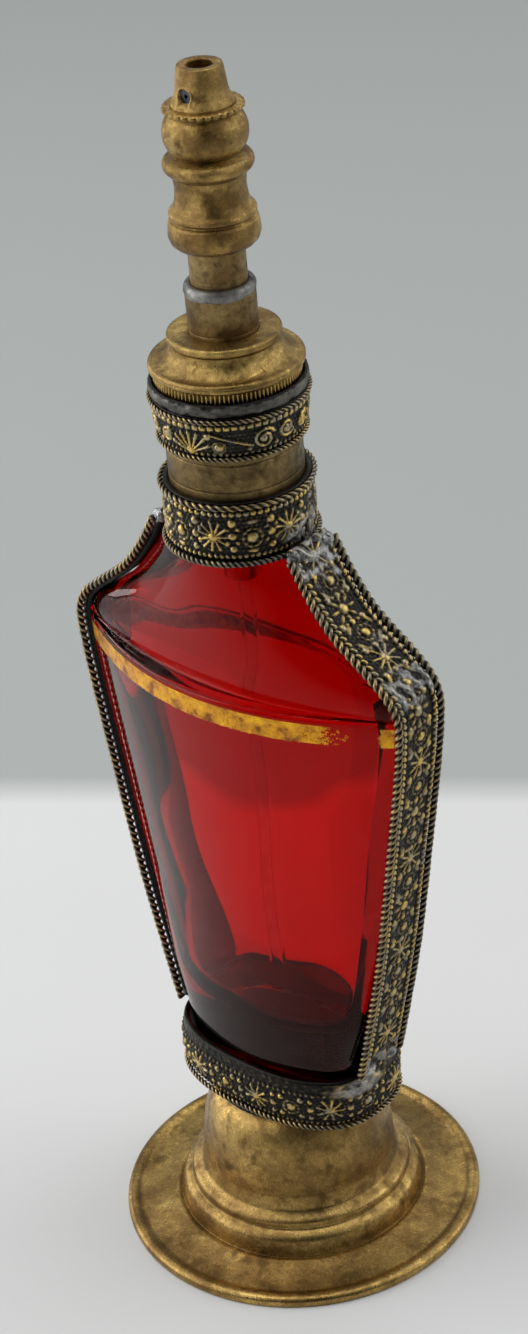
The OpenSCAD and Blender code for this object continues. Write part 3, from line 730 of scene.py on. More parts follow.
def strap(side, sx):
    total = lengths(strap_line)[-1]
    nu = int(total / 0.17)
    s = np.linspace(0, total, nu)
    p = resample(strap_line, s)
    n = plane_normals(p)
    v = np.linspace(-STRAP_HALF, STRAP_HALF, 52)
    u2, v2 = np.meshgrid(s, v, indexing="ij")
    h = strap_height(u2, v2, total, 31 if sx > 0 else 57)
    edge = unit((STRAP_HALF - np.abs(v2)) / 0.3)
    # solder flooded over the relief where the strap was joined
    flood = np.zeros_like(u2)
    joints = ((0.5, 5.0, 0.42), (26.5, 2.8, 0.34), (total - 1.0, 2.6, 0.30))
    for cu, reach, depth in joints:
        blob = np.exp(-((u2 - cu) / reach) ** 2) * (0.55 + 0.75 * smooth_noise(u2, v2, 3.4, 9))
        flood = np.maximum(flood, depth * blob)
    melted = unit(flood / 0.30)
    top = np.maximum(h * edge * (1 - 0.35 * melted), flood) - 0.02
    rel = top / 0.48
    back = np.full((nu, 1), -STRAP_T)
    hh = np.hstack([back, top, back])
    vv = np.hstack([v2[:, :1], v2, v2[:, -1:]])
    pts = np.stack([sx * (p[:, 0, None] + hh * n[:, 0, None]), vv,
                    p[:, 1, None] + hh * n[:, 1, None]], -1)
    zero = np.zeros((nu, 1))
    obj = grid_mesh(f"filigree_strap_{side}", pts, False, True, True,
                    np.hstack([zero, rel, zero]), solder=np.hstack([zero, melted, zero]))
    finish_piece(obj, "filigree", "bottle", "filigree_pewter", f"strap_{side}",
                 f"rosettes_{side}")


strap("right", 1)
strap("left", -1)

# Neck bands


RELIEF_STEP = 0.16


def band(name, radius_at, z0, z1, height, bore, nodes, inner_rows=None, solder_at=None):
    """A stamped hoop with relief over its outside."""
    mean = radius_at((z0 + z1) / 2)
    segments = int(TAU * mean / RELIEF_STEP)
    a = np.arange(segments) / segments * TAU
    z = np.linspace(z0, z1, int((z1 - z0) / RELIEF_STEP) + 2)
    a2, z2 = np.meshgrid(a, z, indexing="ij")
    h = height(a2 * mean, z2, TAU * mean)
    h = h * unit(np.minimum(z2 - z0, z1 - z2) / 0.3)
    inner = np.full((segments, 1), bore)
    rr = np.hstack([inner, radius_at(z2) + h, inner])
    zz = np.hstack([z2[:, :1], z2, z2[:, -1:]])
    pts = about_axis(rr, np.repeat(a[:, None], rr.shape[1], 1), zz)
    zero = np.zeros((segments, 1))
    rel = np.hstack([zero, h / 0.45, zero])
    if inner_rows is not None:
        lip = np.array(inner_rows)
        rim = about_axis(lip[:, 0], a[:, None], np.repeat(lip[None, :, 1], segments, 0))
        pts = np.concatenate([pts[:, :-1], rim], 1)
        rel = np.hstack([rel[:, :-1], np.zeros((segments, len(lip)))])
    melted = None
    if solder_at is not None:
        melted = np.hstack([zero, solder_at(a2 * mean, z2, TAU * mean),
                            np.zeros((segments, rel.shape[1] - z2.shape[1] - 1))])
    obj = grid_mesh(name, pts, True, True, relief=rel, solder=melted)
    finish_piece(obj, "filigree", "bottle", "filigree_pewter", *nodes)


def round_distance(u, cu, around):
    return (u - cu + around / 2) % around - around / 2


def lower_solder(u, z, around):
    blob = np.exp(-(round_distance(u, 0.02 * around, around) / 4.4) ** 2
                  - ((z - 129.6) / 3.0) ** 2)
    return unit(blob * (0.75 + 0.8 * smooth_noise(u, z, 2.6, 5)))


def lower_relief(u, z, around):
    h = most(bead_row(u, z, 135.95, around / 66, 0.50, 0.44),
             bead_row(u, z, 129.05, around / 78, 0.40, 0.38),
             grains(u, z) * (z > 129.6) * (z < 135.4))
    first = math.radians(-70)
    step = around / 24
    for k in range(12):
        d = round_distance(u, (first + k * TAU / 12) / TAU * around, around)
        if k % 2 == 0:
            q = flower(d, z, 0, 132.3, 2.7, 11, 0.3 * k)
        else:
            q = most(button(d, z, 0, 132.0, 1.75), leaf(d, z, 0.0, 134.6, 1.1, 0.0),
                     leaf(d, z, 0.0, 129.9, 1.0, 0.0))
        spots = ((0, 130.3, 0.60, 0.50), (0, 134.5, 0.72, 0.50), (0, 132.4, 0.66, 0.50),
                 (-0.75, 133.5, 0.36, 0.38), (-0.75, 131.3, 0.36, 0.38),
                 (0.75, 133.5, 0.36, 0.38), (0.75, 131.3, 0.36, 0.38))
        h = most(h, q, *(dome(d, z, step + du, zc, r, top) for du, zc, r, top in spots))
    melted = lower_solder(u, z, around)
    h = most(h * (1 - 0.4 * melted), 0.50 * melted)
    return h + 0.04 * smooth_noise(u, z, 1.1, 3)


def upper_relief(u, z, around):
    h = most(bead_row(u, z, 149.95, around / 62, 0.50, 0.40, True),
             bead_row(u, z, 145.45, around / 74, 0.36, 0.32),
             grains(u, z) * (z > 146.0) * (z < 149.2))
    for k in range(3):
        base = (math.radians(-82) + k * TAU / 3) / TAU * around

        def at(deg):
            return round_distance(u, base + math.radians(deg) / TAU * around, around)

        h = most(h, rays(at(0), z, 0, 145.7, 3.7, 16, 0.46, 0.30, math.pi / 2, 1.30, 0.1),
                 ring(at(23), z, 0, 146.7, 0.95, 0.16, 0.30),
                 stroke(at(36), z, -3.6, 148.9, 2.4, 146.7, 0.24, 0.44))
        for deg, zc, r, top in ((0, 145.9, 0.7, 0.5), (-19, 148.5, 0.60, 0.48),
                                (15, 148.5, 0.60, 0.48), (23, 146.7, 0.80, 0.56),
                                (46, 146.2, 0.42, 0.40), (68, 146.2, 0.42, 0.40),
                                (88, 146.2, 0.42, 0.40)):
            h = most(h, dome(at(deg), z, 0, zc, r, top))
        for deg, r, turn, zc in ((58, 1.70, 1, 147.4), (78, 1.45, -1, 147.9),
                                 (98, 1.2, 1, 147.4)):
            e = at(deg)
            h = most(h, scroll(e, z, 0, zc, r, 0.26, 0.48, turn, 0.4),
                     dome(e, z, 0, zc, 0.52, 0.54))
    return h + 0.04 * smooth_noise(u, z, 1.0, 4)


band("filigree_lower_band", lambda z: 11.0 + 0 * z, 127.4, 137.6, lower_relief, 10.15,
     ("lower_band", "lower_band_rosettes"), solder_at=lower_solder)
band("filigree_upper_band", lambda z: 10.45 + (z - 144.3) / 7.2 * 1.15, 144.3, 151.5,
     upper_relief, 10.15, ("upper_band", "upper_band_rosettes"),
     [(11.12, 151.5), (11.12, 150.7), (10.15, 150.7)])

# Cup

CUP_A, CUP_B, CUP_POWER = 19.1, 12.7, 2.5
CUP_LOW, CUP_TOP = 25.0, 34.8
CUP_WALL = [(1.5, 25.0), (0.6, 26.2), (0.1, 28.6), (-0.1, 31.2), (0.3, 34.8)]


def oval(a, b, t):
    c, s = np.cos(t), np.sin(t)
    e = 2 / CUP_POWER
    return np.stack([a * np.sign(c) * np.abs(c) ** e, b * np.sign(s) * np.abs(s) ** e], -1)


def even_oval(a, b, count):
    t = np.linspace(0, TAU, 1441)
    p = oval(a, b, t)
    at = lengths(p)
    s = np.arange(count) / count * at[-1]
    return np.stack([np.interp(s, at, p[:, 0]), np.interp(s, at, p[:, 1])], -1), s, at[-1]


def cup_relief(u, z, around):
    h = most(bead_row(u, z, 32.55, around / 108, 0.34, 0.30),
             bead_row(u, z, 26.75, around / 120, 0.36, 0.32),
             grains(u, z) * (z > 27.4) * (z < 32.1))
    for k in range(16):
        d = round_distance(u, (k + 0.5) * around / 16, around)
        if k % 2 == 0:
            q = flower(d, z, 0, 29.7, 2.5, 9, 0.4 * k)
        else:
            q = most(button(d, z, 0, 29.7, 1.6),
                     *(dome(d, z, 1.7 * su, 29.7 + 1.7 * sv, 0.58, 0.44)
                       for sv in (-1, 1) for su in (1, -1)))
        h = most(h, q, *(dome(d, z, around / 32, zc, r, 0.46)
                         for zc, r in ((29.7, 0.66), (31.4, 0.44), (28.0, 0.50))))
    return h + 0.04 * smooth_noise(u, z, 1.1, 6)


def cup():
    base, s, around = even_oval(CUP_A, CUP_B, 600)
    n = -plane_normals(base, closed=True)
    falls = np.array(CUP_WALL)
    z = np.linspace(CUP_LOW, CUP_TOP, 60)
    fall = np.interp(z, falls[:, 1], falls[:, 0])
    u2, z2 = np.meshgrid(s, z, indexing="ij")
    h = cup_relief(u2, z2, around)
    soft = unit((CUP_TOP - z2) / 0.35) * unit((z2 - CUP_LOW) / 0.3)
    lump = 0.5 * np.exp(-((round_distance(u2, -4.5, around)) / 5) ** 2 - ((z2 - 33) / 1.6) ** 2)
    h = most(h, lump * (0.8 + 0.5 * smooth_noise(u2, z2, 2.4, 12)))
    h = (h + 0.05 * smooth_noise(u2, z2, 1.4, 8)) * soft - 0.12 * (1 - soft)
    out = h - fall[None, :]
    inside = -(fall + STRAP_T)[None, ::-1][:, ::6]
    xy = [np.hstack([base[:, k, None] + out * n[:, k, None],
                     base[:, k, None] + inside * n[:, k, None]]) for k in (0, 1)]
    pts = np.stack([*xy, np.hstack([z2, z2[:, ::-1][:, ::6]])], -1)
    blank = np.zeros((len(s), inside.shape[1]))
    rel = np.hstack([h / 0.45 + 0.18 * (z2 > 33.0), blank])
    obj = grid_mesh("filigree_cup", pts, True, True, relief=rel,
                    solder=np.hstack([lump * 1.6, blank]))
    finish_piece(obj, "filigree", "bottle", "filigree_pewter", "cup_band", "cup_rosettes")
    path = even_oval(CUP_A - 0.05, CUP_B - 0.05, 300)[0]
    nn = -plane_normals(path, closed=True)
    path3 = np.stack([path[:, 0], path[:, 1], np.full(len(path), 26.0)], -1)
    out3 = np.stack([nn[:, 0], nn[:, 1], np.zeros(len(nn))], -1)
    across = np.repeat([[0.0, 0.0, 1.0]], len(nn), 0)
    rope_strands("rope_cup", path3, across, out3, 1.9, 0.48, True, "rope", "bottle",
                 "twisted_wire", "cup_lower_wire")


cup()

# Glass

PANEL_FRONT, PANEL_LOW = 13.5, 11.1
EDGE_HALF, LEDGE_Z, FLOOR_Z = 4.1, 105.8, 40.5
WALL_SIDE, WALL_FRONT, CAVE_EDGE = 4.2, 3.0, 2.4
NECK_R, BORE_R, MOUTH_Z = 8.6, 6.2, 153.6
HALF_POINTS = 56
GILT_LOW, GILT_TOP = 101.4, 104.8


def panel_bulge(z):
    return PANEL_LOW + (z - CUP_TOP) * (PANEL_FRONT - PANEL_LOW) / (LEDGE_Z - CUP_TOP)


def lens_section(z, w, f, e, round_, slim):
    """Ring of a lens-shaped section: the front curve, then the back curve."""
    t = np.linspace(0, math.pi, HALF_POINTS)
    sine = unit(np.sin(t))
    depth = (1 - round_) * (e + (f - e) * sine ** slim) + round_ * f * sine
    x = -w * np.cos(t)
    front = np.stack([x, -depth, np.full_like(x, z)], -1)
    back = np.stack([x[::-1], depth[::-1], np.full_like(x, z)], -1)
    return np.vstack([front, back])


def sections(keys, step=1.0):
    """Lens sections through key rows (z, w, f, e, round, slim), filled in between."""
    k = np.array(keys, float)
    out = []
    for a, b in zip(k[:-1], k[1:]):
        n = max(1, int(math.ceil(abs(b[0] - a[0]) / step)))
        for i in range(n):
            out.append(lens_section(*(a + (b - a) * (i / n))))
    out.append(lens_section(*k[-1]))
    return out


def slimness(z):
    return np.interp(z, [CUP_TOP, 62.0], [1.0, 2.0])


def smooth_keys(zs, f):
    return [(z, *f(z), slimness(z)) for z in zs]


def circle(r, z):
    """A round ring of as many points as a lens section."""
    t = np.linspace(0, math.pi, HALF_POINTS)
    x = -r * np.cos(t)
    front = np.stack([x, -r * np.sin(t), np.full_like(x, z)], -1)
    back = np.stack([x[::-1], r * np.sin(t)[::-1] + 1e-4, np.full_like(x, z)], -1)
    return np.vstack([front, back])


def glass():
    def panel(z):
        w = glass_half(z)
        low = unit((45 - z) / (45 - CUP_TOP))
        return (w - 0.85 * low, panel_bulge(z) - 0.1 * low, EDGE_HALF - 0.6 * low, 0.0)

    def shoulder(z):
        f = np.interp(z, [LEDGE_Z, 118, 124, 127.1], [10.6, 10.2, 9.7, 9.3])
        rnd = np.interp(z, [113, 117, 121, 125, 127.1], [0, 0.05, 0.15, 0.35, 0.6])
        w = glass_half(z) if z < 125 else np.interp(z, [125, 127.1], [glass_half(125), 11.2])
        return (w, f, EDGE_HALF - 0.1, rnd)

    w0 = glass_half(LEDGE_Z)
    rim = []
    for deg in (0, 20, 40, 60, 78, 90):
        a = math.radians(deg)
        rim.append((LEDGE_Z - 0.75 + 0.75 * math.sin(a), w0 - 0.1 - 0.3 * (1 - math.cos(a)),
                    PANEL_FRONT - 0.75 * (1 - math.cos(a)), EDGE_HALF, 0.0, 2.0))
    rim += [(LEDGE_Z + 0.02, w0 - 0.45, 12.2, EDGE_HALF - 0.05, 0.0, 2.0),
            (LEDGE_Z + 0.04, w0 - 0.45, 11.2, EDGE_HALF - 0.1, 0.0, 2.0)]
    for deg in (0, 30, 60, 90):
        a = math.radians(deg)
        rim.append((LEDGE_Z + 0.05 + 0.45 * (1 - math.cos(a)), w0 - 0.45,
                    11.05 - 0.45 * math.sin(a), EDGE_HALF - 0.1, 0.0, 2.0))
    outer = sections(
        [(26.6, 14.2, 8.4, 2.6, 0.1, 1.0), (26.7, 15.0, 9.2, 3.0, 0.0, 1.0),
         (27.8, 16.4, 10.6, 3.6, 0.0, 1.0)]
        + smooth_keys(np.arange(CUP_TOP, LEDGE_Z - 0.8, 2.0), panel), 2.0)
    outer += sections(rim, 5.0)
    outer += sections(smooth_keys(list(np.arange(106.6, 127.0, 1.0)) + [127.1], shoulder), 1.0)
    outer += [circle(NECK_R, z) for z in (127.2, 140.0, 153.2)]
    outer += [circle(NECK_R - 0.3, MOUTH_Z), circle(BORE_R + 0.3, MOUTH_Z)]

    def hollow(z):
        if z <= 102:
            return (glass_half(z) - WALL_SIDE, panel_bulge(z) - WALL_FRONT, CAVE_EDGE, 0.0)
        f = np.interp(z, [102, 108, 118, 124], [panel_bulge(102) - WALL_FRONT, 7.5, 7.2, 6.6])
        w = np.interp(z, [102, 108, 112, 116, 120, 124],
                      [*(glass_half(k) - WALL_SIDE for k in (102, 108, 112, 116, 120)), 9.6])
        rnd = np.interp(z, [108, 112, 116, 120, 124], [0, 0.05, 0.15, 0.35, 0.6])
        return (w, f, CAVE_EDGE, rnd)

    inner = [circle(BORE_R, z) for z in (153.2, 140.0, 127.0)]
    levels = list(np.arange(124.0, FLOOR_Z + 6, -2.0))
    inner += sections(smooth_keys(levels, hollow), 4.0)
    floor_r = 5.5
    low = FLOOR_Z + floor_r
    w_low, f_low = glass_half(low) - WALL_SIDE, panel_bulge(low) - WALL_FRONT
    # the rounded floor of the cavity
    for deg in (15, 30, 45, 58, 70, 80, 87):
        a = math.radians(deg)
        k = math.cos(a)
        inner.append(lens_section(low - floor_r * math.sin(a), w_low * (0.35 + 0.65 * k),
                                  max(0.8, f_low * (0.3 + 0.7 * k)),
                                  CAVE_EDGE * (0.3 + 0.7 * k), 1 - k, slimness(low)))
    pts = np.array(outer + inner)
    # the moulded inside wall is wavy
    cave = pts[len(outer):]
    calm = unit((118 - cave[..., 2]) / 12) * unit((cave[..., 2] - FLOOR_Z) / 6)
    wave = smooth_noise(cave[..., 0], cave[..., 2] * 0.6, 26.0, 25)
    cave[..., 1] *= 1 + 0.030 * calm * wave
    cave[..., 0] *= 1 + 0.010 * calm * smooth_noise(cave[..., 2], cave[..., 1] * 0.3, 30.0, 26)
    obj = grid_mesh("ruby_glass_body", pts, False, True, True, sharp=55)
    finish_piece(obj, "glass", "bottle", "ruby_glass", "glass_bottle")


glass()


def gilt_stripe(name, side, node):
    """Rubbed gold stripe on the panel; the gold is worn away where the noise is low."""
    t = np.linspace(math.radians(4), math.radians(176), 420)
    z = np.linspace(GILT_LOW, GILT_TOP, 26)
    t2, z2 = np.meshgrid(t, z, indexing="ij")
    w = glass_half(z2)
    f = panel_bulge(z2)
    x = -w * np.cos(t2)
    depth = EDGE_HALF + (f - EDGE_HALF) * np.sin(t2) ** 2
    pts = np.stack([x, side * (depth + 0.06), z2], -1)
    mid_t, mid_z = t2[:-1, :-1], z2[:-1, :-1]
    ux = x[:-1, :-1]
    worn = 0.5 * smooth_noise(ux, mid_z, 5.0, 21) + 0.5 * smooth_noise(ux, mid_z, 1.3, 22)
    fine = smooth_noise(ux * 2.1, mid_z * 2.0, 0.9, 23)
    edge = np.minimum(mid_z - GILT_LOW, GILT_TOP - mid_z)
    share = -np.cos(mid_t)
    fade = unit((share - 0.52) / 0.30) * 1.35 - unit((share - 0.92) / 0.03)
    keep = (0.85 + 0.35 * worn + 0.25 * fine - fade) > unit(0.75 - edge * 5) + 0.05
    obj = grid_mesh(name, pts, keep=keep)
    finish_piece(obj, "gilding", "bottle", "gilding", node)


gilt_stripe("worn_gilt_front", -1, "gilt_stripe_front")
gilt_stripe("worn_gilt_back", 1, "gilt_stripe_back")

# Solder


def solder_lump(name, centre, size, seed, *nodes):
    """A blob of solder, uneven and flattened."""
    a = np.arange(48) / 48 * TAU
    b = np.linspace(0.03, math.pi - 0.03, 26)
    a2, b2 = np.meshgrid(a, b, indexing="ij")
    ball = about_axis(np.sin(b2), a2, np.cos(b2))
    px, py, pz = np.moveaxis(ball, -1, 0)
    r = 1 + 0.14 * smooth_noise(px * 2 + pz, py * 2 - pz, 2.6, seed)
    r += 0.05 * smooth_noise(px * 4 - pz, py * 4 + pz * 2, 2.0, seed + 1)
    pts = np.array(size) * r[..., None] * ball + np.array(centre)
    obj = grid_mesh(name, pts.transpose(1, 0, 2), False, True, True)
    finish_piece(obj, "solder", "bottle", "solder", *nodes)


for i, (sx, sy) in enumerate(((1, -1), (1, 1), (-1, -1), (-1, 1))):
    solder_lump(f"solder_neck_{i}", (13.0 * sx, 3.6 * sy, 128.0), (1.2, 1.3, 1.1), 40 + i,
                *(("solder_joints",) if i == 0 else ()))
for i, sy in enumerate((-1, 1)):
    solder_lump(f"solder_cup_{i}", (18.7, 2.9 * sy, 35.3), (0.9, 1.8, 0.9), 50 + i)


def solder_ring():
    def uneven(a, r, z):
        return r + 0.12 * smooth_noise(a * 9, z, 4.0, 61) * (r > 10.8), z

    outline = [(11.5, 24.8), (12.3, 24.83), (12.9, 24.97), (10.6, 24.97), (10.6, 24.8)]
    obj = lathe("solder_foot_seam", outline, reach=0.05, shift=uneven)
    finish_piece(obj, "solder", "bottle", "solder", "foot_solder_ring")


solder_ring()

# Foot


def foot():
    quarter = [a * 1.5 for a in range(0, 51, 5)]
    outer = [(30, 0), (30, 0.9), (29.85, 1.25), (29.5, 1.55), (28.9, 1.7), (28.3, 1.6),
             (27.9, 1.38), (27.4, 1.3), (25, 1.6), (23.2, 1.95), (21.4, 2.4), (20.95, 2.38),
             (20.6, 2.2), (20.45, 2.6), (20.3, 3.4), (20.0, 4.7), (19.75, 5.25), (19.4, 5.65),
             (18.9, 6.0), (18.5, 6.2), (18.35, 6.5), (18.3, 7.1), (18.15, 7.5), (17.8, 7.85),
             (17.1, 8.25), (16.6, 8.7), (16.4, 9.2)]
    outer += arc(11.5, 11, 4.5, 13.2, quarter) + [(11.4, 24.8)]
    under = [(3.0, 24.8), (3.0, 24.0)] + arc(11.4, 11, 3.8, 12.4, quarter[::-1])
    under += [(15.7, 8.4), (16.7, 7.3), (17.5, 6.7), (17.9, 5.6), (18.6, 5.1), (19.1, 4.6),
              (19.4, 3.4), (19.9, 1.6), (21.2, 1.6), (25, 0.8), (27.5, 0.6), (27.8, 0)]

    def uneven(a, r, z):
        dent = 0.06 * smooth_noise(a * 6, r, 7.0, 71) * (r < 29) * (r > 12) * (z > 0.2)
        return r + dent, z

    obj = lathe("spun_foot", outer + under, 224, reach=0.25, shift=uneven)
    finish_piece(obj, "foot_brass", "bottle", "worn_brass", "foot")


foot()

# Neck sleeve and collar


def neck():
    outline = [(10.1, 127.4), (10.1, 138.6), (10.02, 138.8), (10.1, 139.0), (10.1, 143.0),
               (9.98, 143.2), (10.1, 143.4), (10.1, 149.0), (8.8, 149.0), (8.8, 127.4)]
    obj = lathe("brass_neck_sleeve", outline, reach=0.06)
    # the sleeve between the bands takes the darkened brass: painted shade
    finish_piece(obj, "shaded_sleeve_brass", "bottle", "brass_relief", "neck_sleeve")

    def rough(a, r, z):
        out = r > 11.2
        x, y = 11 * np.cos(a), 11 * np.sin(a)
        lump = 0.08 * smooth_noise(x + z, y - z, 3.4, 81)
        lump += 0.04 * smooth_noise(x - 2 * z, y + z, 1.3, 82)
        return r + np.where(out, lump - 0.10, 0), z

    def height(a, r, z):
        return 0.55 + 4 * (r - 11.6) + 0.25 * smooth_noise(a * 11, z, 1.6, 83)

    outline = [(11.12, 151.55), (11.45, 151.55)]
    outline += arc(11.35, 152.55, 0.5, 1.05, range(-50, 51, 10))
    outline += [(11.35, 153.6), (11.12, 153.45)]
    obj = lathe("pewter_collar", outline, 200, reach=0.08, relief=height, shift=rough)
    # the collar's colour is dark pewter with painted shadow mixed in
    finish_piece(obj, "collar", "bottle", "pewter", "collar_rim")


neck()

# Screw cap, guide tube and ferrule


def cap():
    cap_r, skirt_r = 11.46, 10.9
    cove = [(cap_r - 0.7 - 2.75 * math.sin(math.radians(a)),
             159.1 - 2.7 * math.cos(math.radians(a))) for a in range(0, 91, 6)]
    outline = [(9.98, 151.0), (skirt_r, 151.0)]
    outline += [(skirt_r, z) for z in (151.4, 152.4, 153.4, 154.3, 154.8)]
    outline += [(10.45, 155.02), (10.5, 155.1), (cap_r - 0.3, 155.12), (cap_r - 0.05, 155.3),
                (cap_r, 155.5), (cap_r, 155.75), (cap_r - 0.08, 155.82), (cap_r, 155.9),
                (cap_r, 156.05), (cap_r - 0.2, 156.36), (cap_r - 0.55, 156.42)]
    outline += cove[1:] + [(8.2, 159.25), (8.35, 159.45), (8.4, 159.7), (8.4, 160.15),
                           (8.3, 160.38), (8.0, 160.5), (7.3, 160.46), (6.5, 160.5),
                           (5.4, 160.42), (5.17, 160.4), (5.17, 157.2), (2.2, 157.2),
                           (2.2, 156.1), (9.98, 156.1)]
    ridges = 104

    def knurl(a, r, z):
        wave = 0.5 - 0.5 * np.cos(ridges * a)
        on = (np.abs(r - skirt_r) < 0.05) & (z > 151.1) & (z < 154.95)
        return r - np.where(on, 0.50 * wave, 0), z

    obj = lathe("knurled_cap", outline, ridges * 6, reach=0.05, shift=knurl)
    finish_piece(obj, "cap_brass", "cap", "turned_brass", "screw_cap")

    outline = [(5.15, 157.2), (5.15, 160.9), (5.08, 161.1), (5.15, 161.3), (5.15, 166.3),
               (5.1, 166.5), (4.35, 166.5), (4.35, 157.2)]
    obj = lathe("brass_guide_tube", outline, 128, reach=0.05)
    finish_piece(obj, "guide_brass", "cap", "turned_brass", "guide_tube")

    def drips(a, r, z):
        low = (z < 166.75) & (r > 5.0)
        z = z - np.where(low, 0.42 * np.clip(smooth_noise(a * 4, a * 0, 6.0, 91), -0.2, 1), 0)
        return r + 0.05 * smooth_noise(a * 5, z, 2.0, 92) * (r > 4.6), z

    outline = [(4.23, 166.5), (5.17, 166.45), (5.26, 166.9), (5.22, 167.4), (5.05, 167.8),
               (4.75, 168.0), (4.23, 168.0)]
    obj = lathe("solder_ferrule", outline, reach=0.08, shift=drips)
    finish_piece(obj, "ferrule", "cap", "solder", "guide_ferrule")


cap()

# Plunger sleeve and spray head

NOZZLE_Z = 196.2


def plunger():
    outline = [(4.15, 163.0), (4.15, 168.8), (4.10, 168.95), (4.15, 169.1), (4.15, 175.6),
               (4.0, 175.8), (2.5, 175.8), (2.5, 181.7), (1.7, 181.7), (1.7, 163.0)]
    obj = lathe("brass_stem_sleeve", outline, 128, reach=0.05)
    finish_piece(obj, "guide_brass", "plunger", "turned_brass", "stem_sleeve")


def head():
    top = [(1.9, 197.62), (1.9, 199.75), (2.05, 199.95), (2.3, 200), (2.95, 200),
           (3.2, 199.9), (3.3, 199.6)]
    top += [(3.3 + 0.05 * k, 199.6 - 0.333 * k) for k in range(1, 4)]
    neck_z = np.arange(198.4, 195.5, -0.14)
    top += [(float(np.interp(z, [195.6, 196.6, 198.6], [3.95, 3.7, 3.45])), float(z))
            for z in neck_z]
    top += [(4.35, 194.9), (4.55, 194.5), (4.55, 193.45), (5.3, 193.45)]
    bulb = arc(3.4, 190.3, 2.7, 3.5, range(55, -63, -6))
    torus = arc(5.6, 185.8, 0.9, 1.1, range(66, -67, -11))
    waist = [(5.3, 184.2), (5.15, 183.0), (5.1, 182.3), (5.15, 181.6), (5.3, 180.3),
             (5.7, 179.4), (6.1, 179.05), (6.28, 178.8), (6.3, 178.4), (6.1, 178.2),
             (5.95, 178.1), (5.93, 177.95), (5.97, 177.8), (6.3, 177.6), (6.45, 177.3),
             (6.6, 176.4), (6.65, 175.3), (6.35, 174.4), (5.8, 173.85), (4.95, 173.5)]
    inside = [(4.23, 173.5), (4.23, 176.0), (2.58, 176.0), (2.58, 182.0), (0.8, 182.0),
              (0.8, 197.62)]

    def nozzle_hole(a, r, z):
        side = np.hypot(r * np.cos(a), z - NOZZLE_Z)
        front = (np.sin(a) < 0) & (r > 3.0)
        sink = unit((1.12 - side) / 0.10) * 2.2
        lip = 0.10 * np.exp(-((side - 1.25) / 0.14) ** 2)
        return r + np.where(front, lip - sink, 0), z

    obj = lathe("turned_spray_head", top + bulb + torus + waist + inside, 240, reach=0.07,
                shift=nozzle_hole)
    finish_piece(obj, "head_brass", "head", "turned_brass", "spray_head")

    # the thin toothed disc
    teeth = 30

    def toothed(a, r, z):
        wave = np.abs(np.sin(teeth / 2 * a)) ** 0.7
        uneven = 0.05 * smooth_noise(a * 3, a * 0, 2.5, 95)
        return r + np.where(r > 5.4, 0.36 * (wave - 1) + uneven * 0.5, 0), z

    outline = [(4.6, 193.5), (5.0, 193.5), (5.55, 193.55), (5.8, 193.7), (5.88, 193.9),
               (5.8, 194.1), (5.55, 194.27), (5.0, 194.3), (4.6, 194.3)]
    obj = lathe("toothed_disc", outline, teeth * 14, reach=0.05, shift=toothed)
    finish_piece(obj, "head_brass", "head", "brass_relief", "head_bead_disc")

    outline = [(0.35, 197.62), (1.84, 197.62), (1.84, 198.45), (1.7, 198.5), (1.1, 198.35),
               (0.6, 198.25), (0.35, 198.1)]
    obj = lathe("head_plug_insert", outline, 64, reach=0.06)
    finish_piece(obj, "guide_brass", "head", "turned_brass", "head_plug")


def spring():
    """The coil under the piston, built at rest, though it closes up as the head is pressed."""
    low, high, wire, coil, turns = 131.05, 141.6, 0.24, 3.25, 6
    t = np.linspace(0, turns * TAU, int(turns * 36) + 1)[:, None]
    ring_a = np.arange(12)[None, :] / 12 * TAU
    r = coil + wire * np.cos(ring_a)
    z = low + wire + t / (turns * TAU) * (high - low - 2 * wire) + wire * np.sin(ring_a)
    obj = grid_mesh("coiled_return_spring", about_axis(r, -t, z), False, True, True)
    finish_piece(obj, "steel", "pump_unit", "pump_steel", "return_spring")
    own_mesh(obj)


plunger()
head()
spring()

# CAD nodes that keep their shape

KEPT = {
    "old_brass": ("cup_floor", "neck_thread_ring"),
    "steel": ("pump_barrel", "stem_bushing", "valve_housing", "inlet_ball",
              "pump_stem", "piston", "piston_nut", "outlet_ball"),
    "rubber": ("cap_gasket", "stem_seal", "piston_seal"),
    "tube": ("dip_tube",),
    "nozzle": ("spray_nozzle",),
}
for material, names in KEPT.items():
    for node in names:
        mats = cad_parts[node].data.materials
        mats.clear()
        mats.append(M[material])

# Floor, light and world


AWAY = (-0.5468, 0.8373)
TABLE_END = 0.1166


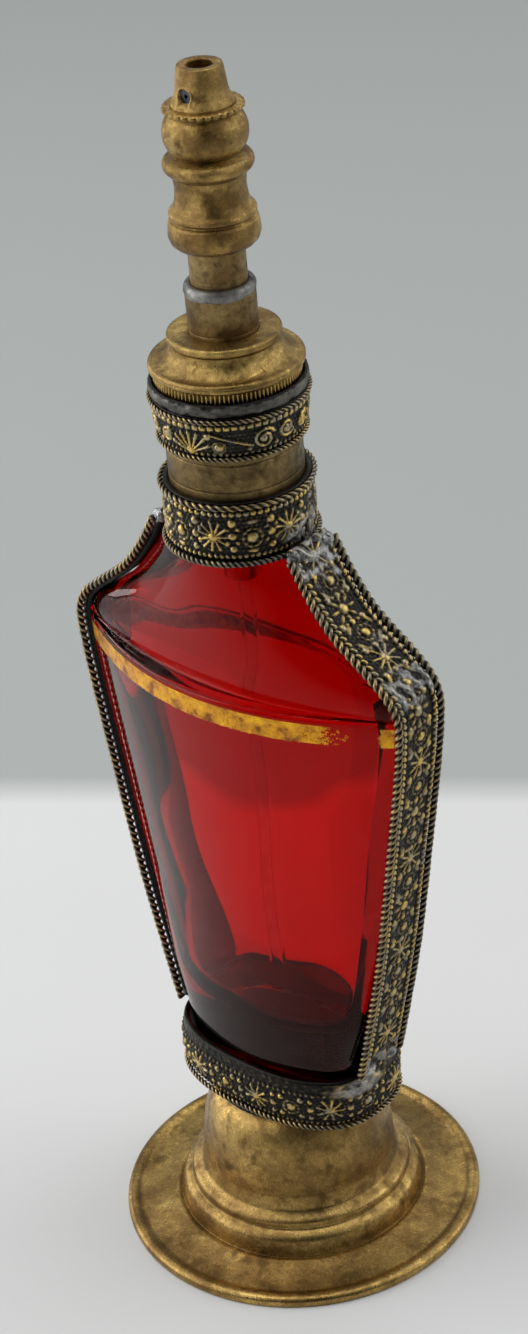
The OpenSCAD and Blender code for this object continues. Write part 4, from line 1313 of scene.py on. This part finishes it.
def floor():
    n = Nodes("floor")
    sep = n.new("ShaderNodeSeparateXYZ")
    n.link(n.object_position(), sep.inputs[0])
    # the table ends on a line behind the object, and a grey ground goes on below it
    away = n.plus(n.times(sep.outputs[0], AWAY[0]), n.times(sep.outputs[1], AWAY[1]))
    soft = n.ramp(n.times(n.math("SUBTRACT", away, TABLE_END), 100), [(0, 0.0), (1, 1.0)])
    table = n.ramp(n.noise(7, 3, 0.5), [(0.3, (0.68, 0.68, 0.68)), (0.7, (0.71, 0.71, 0.71))])
    n.shade("Base Color", n.mix(soft, table, (0.405, 0.42, 0.418)))
    n.shade("Roughness", 0.6)
    n.shade("Specular IOR Level", 0.25)
    mesh = bpy.data.meshes.new("floor")
    k = 6.0
    mesh.from_pydata([(-k, -k, 0), (k, -k, 0), (k, k, 0), (-k, k, 0)], [], [(0, 1, 2, 3)])
    mesh.materials.append(n.mat)
    obj = placed("floor", mesh)


def area_light(name, at, target, size, power, colour=(1, 1, 1)):
    data = bpy.data.lights.new(name, "AREA")
    data.shape = "RECTANGLE"
    data.size, data.size_y = size
    data.energy = power
    data.color = colour
    obj = placed(name, data)
    obj.location = at
    obj.rotation_euler = (Vector(target) - Vector(at)).to_track_quat("-Z", "Y").to_euler()
    obj.visible_camera = False


def lights():
    centre = Vector((0, 0, 0.09))
    left, toward = -VIEW_RIGHT, VIEW_BACK
    up = Vector((0, 0, 1))
    area_light("window_left", centre + 0.80 * left - 0.15 * toward + 0.30 * up, centre,
               (0.8, 0.8), 6.0)
    area_light("window_right", centre - 0.85 * left - 0.10 * toward + 0.34 * up, centre,
               (0.7, 0.7), 2.8)
    area_light("overhead", centre + 1.3 * up - 0.20 * toward, centre, (1.2, 1.0), 8.6)
    world = bpy.data.worlds.new("studio")
    world.use_nodes = True
    bpy.context.scene.world = world
    tree = world.node_tree
    coord = tree.nodes.new("ShaderNodeTexCoord")
    facing = tree.nodes.new("ShaderNodeVectorMath")
    facing.operation = "DOT_PRODUCT"
    facing.inputs[1].default_value = VIEW_BACK
    ramp = tree.nodes.new("ShaderNodeValToRGB")
    el = ramp.color_ramp.elements
    el[0].position, el[0].color = 0.10, (0.40, 0.415, 0.41, 1)
    el[1].position, el[1].color = 0.65, (0.040, 0.040, 0.043, 1)
    tree.links.new(coord.outputs["Generated"], facing.inputs[0])
    tree.links.new(facing.outputs["Value"], ramp.inputs["Fac"])
    bg = tree.nodes["Background"]
    tree.links.new(ramp.outputs["Color"], bg.inputs["Color"])
    bg.inputs["Strength"].default_value = 1.0


floor()
lights()
bpy.context.scene.view_settings.view_transform = "Standard"
